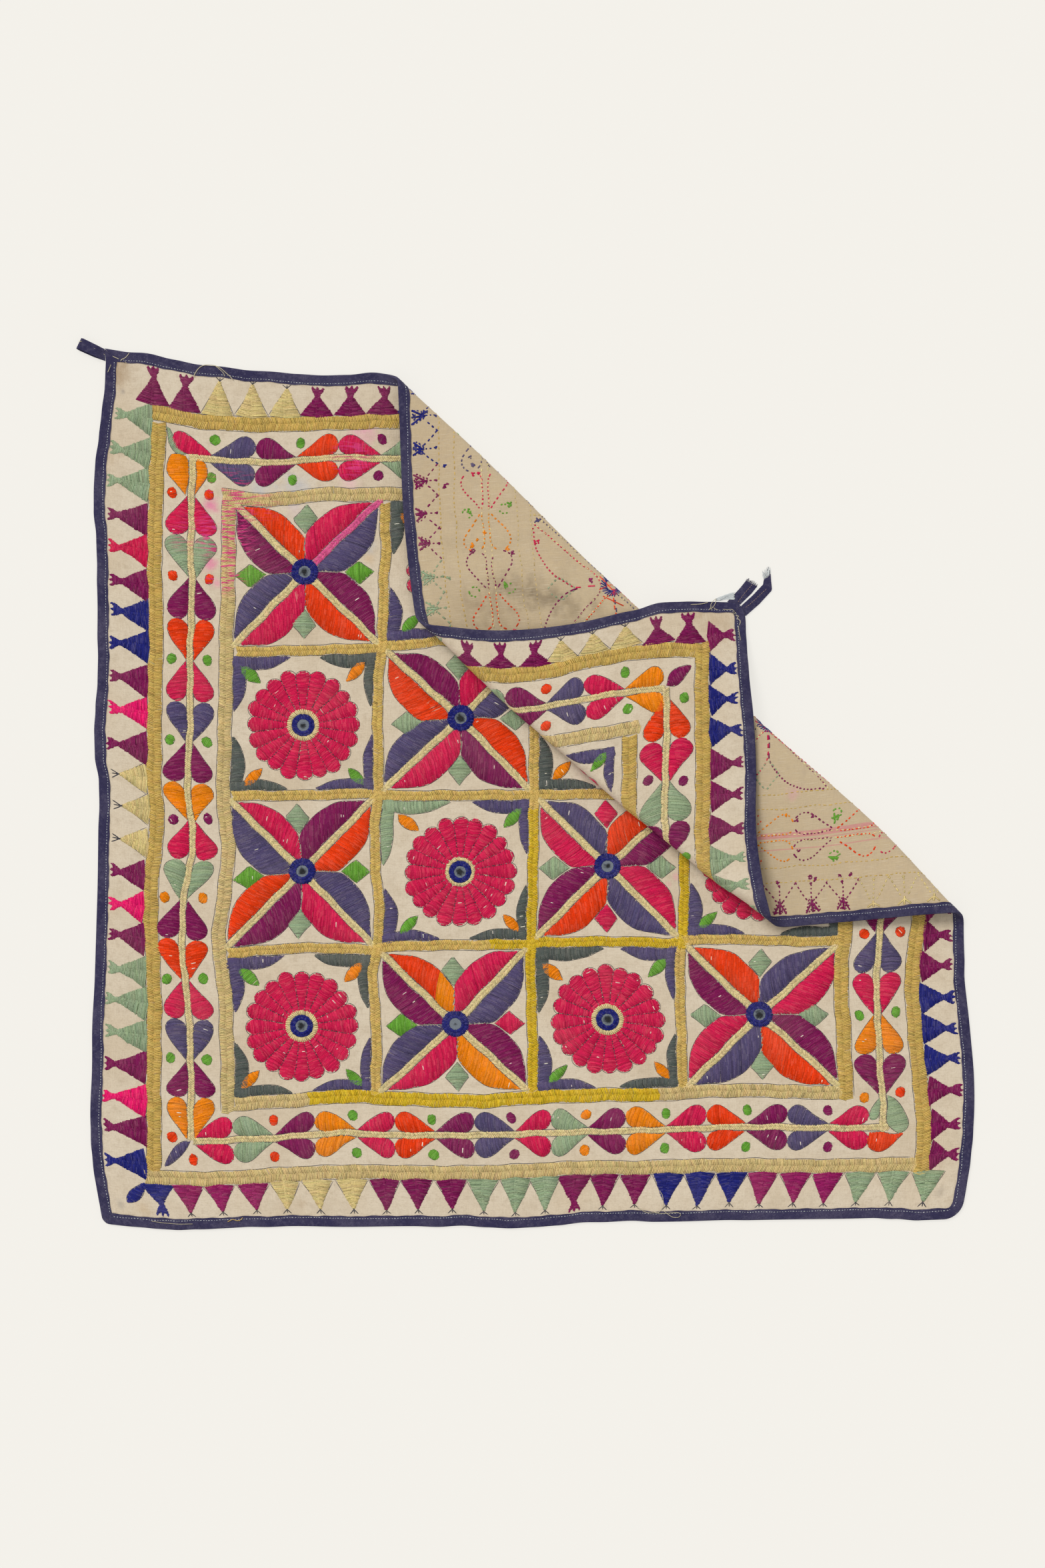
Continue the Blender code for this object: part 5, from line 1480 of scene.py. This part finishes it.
def tail_rows(stations):
    """Rows for a tail from its stations: left edge, right edge, height. Six rows lead to the next."""
    rows_of_edges = []
    for before, after in zip(stations, stations[1:]):
        for share in np.linspace(0, 1, 7)[:-1]:
            left, right = ((1 - share) * np.array(before[i]) + share * np.array(after[i]) for i in (0, 1))
            height = before[2] * (1 - share) + after[2] * share
            rows_of_edges.append(((*left, height), (*right, height), UP))
    left, right, height = stations[-1]
    return rows_of_edges + [((*left, height), (*right, height), UP)]


EDGE = HALF + SEAM_GAP
short_tail = tape_strip("torn_end_short", "broken_tab_short", tail_rows((
    (at_edge(0.4560, EDGE), at_edge(0.4742, EDGE), 0.0012),
    ((0.2285, 0.2245), (0.2414, 0.2187), 0.0008), ((0.2354, 0.2331), (0.2475, 0.2263), 0.0010))),
    TAIL_THICK)
long_tail = tape_strip("torn_end_long", "broken_tab_long", tail_rows((
    (at_edge(EDGE, 0.4735), at_edge(EDGE, 0.4576), 0.0012),
    ((0.2420, 0.2162), (0.2500, 0.2072), 0.0008), ((0.2540, 0.2288), (0.2632, 0.2216), 0.0007),
    ((0.2543, 0.2318), (0.2637, 0.2240), 0.0012), ((0.2550, 0.2345), (0.2628, 0.2330), 0.0016),
    ((0.2585, 0.2362), (0.2623, 0.2400), 0.0018))), TAIL_THICK)

# Loose ends: threads that have come out of the running stitches, the lines of sewing on the loops, their
# frayed ends, and a tuft of lint at the torn loop. In millimetres, as they lie, seen from above.
LYING_THREADS = (
    ("loose", 0.9, "-369.7 455.5, -367 460.9, -363.1 465.7, -357.7 468.4, -350 468.4, -344 467.2, "
                   "-339.2 464.5, -334.4 460.3, -329.6 456.1, -326 451.9"),
    ("loose", 0.6, "-345.5 467.4, -341 463.9, -336.6 459.4, -335.6 455.8"),
    ("loose", 0.5, "-415.8 -467.9, -402 -470, -389.8 -471.1, -370.2 -471.1"),
    ("ochre", 0.7, "-332.5 -469, -327.2 -466.3, -322 -467.4, -318.6 -466.9, -315.5 -463.8"),
    ("loose", 0.6, "140.5 -434.7, 143.5 -439.8, 144.5 -446.4, 143.5 -452.3, 139.6 -458.3, 136.2 -458.3, "
                   "133.6 -457"),
    ("loose", 0.6, "115 -452.7, 120.3 -455, 123 -457.3, 129.6 -459, 134.9 -458.7, 141.5 -459.6, "
                   "146.9 -459.6, 153.5 -459, 160.8 -458.7, 163.4 -461, 160.8 -463.9, 154.8 -463.6, "
                   "149.5 -460.3, 144.9 -456.6"),
    ("loose", 0.7, "-439.8 481.8, -442.3 478.5, -444.6 476.3, -447.6 475, -449.5 472.7"),
    ("loose", 0.9, "-458.3 478.4, -454.7 476.6, -451.1 475.3"),
    ("loose", 0.7, "-459.9 469.1, -461.6 464.9, -463.5 460.6"),
    ("loose", 0.7, "-444.6 472.7, -443.3 471.1, -442.4 470.7"),
)
# The same on the folded corner, as places on the flat square
CORNER_THREADS = (
    (0.8, "414 470.8, 425.5 471.8, 434 474"),
    (0.7, "434 465, 436.6 468, 436.8 471, 439.5 475, 443.7 478.4"),
    (0.7, "443 477, 442.1 473, 439.5 469, 435.9 465.7"),
    (0.6, "439.5 468, 441.7 466, 445 465.3"),
    (0.6, "450 466.2, 457.4 466, 462 466.2, 465.5 463.2, 462.6 461.3, 461.8 464.8"),
    (0.8, "463.6 459.6, 467.3 458, 465.5 456, 468.6 452.3, 467.3 447.4"),
    (0.6, "466.2 447, 467 437.6, 467.6 429.5"),
)


def unfolded(places):
    """Places on the flat square for places seen from above where it isn't folded, in millimetres."""
    seen = np.asarray(places, float) * 0.001
    flat = seen.copy()
    for _ in range(12):
        flat += seen - uneven(flat)
    return flat * 1000


def raised(line, height):
    return np.column_stack([line, np.full(len(line), height)])


laid = [(raised(smooth_line(unfolded(chart(points)), 1.0), 2.15), width, width, thread)
        for thread, width, points in LYING_THREADS]
laid += [(raised(smooth_line(chart(points), 1.0), 2.1), width, width, "loose")
         for width, points in CORNER_THREADS]
for share in np.linspace(0, 1, 60):
    foot = np.array([445.5, 477.4]) + chance.uniform(-1, 1, 2) * (3.0, 1.2)
    head = np.array([464.5, 478.4 + 8.0 * share]) + chance.uniform(-1.6, 0.8, 2) * (1, 0.4)
    bent = (foot + head) / 2 + (chance.uniform(-1, 1), 0.6)
    laid.append((raised(smooth_line((foot, bent, head), 1.8), 0.1 + 0.9 * share), 1.0, 0.5, "lint"))
loose_threads = lay_lines("loose_threads", laid, 95, sides=6)


def on_loop(places):
    """Points just over the hanging loop's upper tape."""
    places = np.asarray(places, float)
    far = (places * 0.001 - spots[0]) @ heading(LOOP_ANGLE)
    height = LOOP_ROOT + (LOOP_OPEN - LOOP_ROOT) * ease(far / LOOP_RISE) + LOOP_TAPE / 2 + 0.0003
    return np.column_stack([places, height * 1000])


frayed = [(on_loop(points), width, 0.4, "loose") for width, points in (
    (0.8, ((-478.2, 486.7), (-475.8, 485.8), (-473.3, 484.7))), (0.7, ((-472, 483.8), (-471.2, 483.4),
                                                                       (-470.4, 483.1))),
    (0.6, ((-468.1, 481.0), (-467.4, 480.4), (-466.8, 479.8))), (0.9, ((-464.8, 482.8), (-461.9, 480.8),
                                                                       (-460.3, 478.9))),
    (0.8, ((-495.0, 494.1), (-493.1, 494.2), (-491.2, 494.2))))]
for points in (((226.3, 209.0), (232.8, 217.8), (242.4, 228.9)),
               ((234.4, 203.4), (239.3, 206.7), (249.1, 215.9), (257.8, 223.9))):
    line = smooth_line(points, 2.9)
    for i in range(len(line) - 1):
        seam = np.array([line[i], line[i] * 0.5 + line[i + 1] * 0.5, line[i] * 0.12 + line[i + 1] * 0.88])
        frayed.append((raised(seam, 2.0 - 0.4 * i / len(line)), 0.6, 0.4, "worn"))
for share in np.linspace(0, 1, 22):
    foot = np.array([235.2, 232.6]) * (1 - share) + np.array([246.8, 226.1]) * share
    head = foot + heading(52 + chance.uniform(-14, 14)) * chance.uniform(1.6, 4.6)
    frayed.append((raised(np.array([foot, (foot + head) / 2, head]), 1.1), 0.7, 0.5, "tape"))
for share in np.linspace(0, 1, 34):
    foot = np.array([255.3 + 6.6 * share, 233.6 + 6.0 * share])
    head = foot + heading(108 - 16 * share + chance.uniform(-9, 9)) * chance.uniform(4.5, 10.5)
    bent = (foot + head) / 2 + heading(chance.uniform(0, 360)) * 0.6
    frayed.append((raised(smooth_line((foot, bent, head), 1.4), 1.6 + chance.uniform(-0.5, 0.5)), 0.7,
                   0.4,
                   "tape" if chance.rand() < 0.25 else "lint"))
frayed_ends = lay_lines("frayed_ends", frayed, 96, sides=5, folded=False)
for piece in (loose_threads, frayed_ends):
    piece.data.materials.append(floss.material)
    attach(piece, "root")
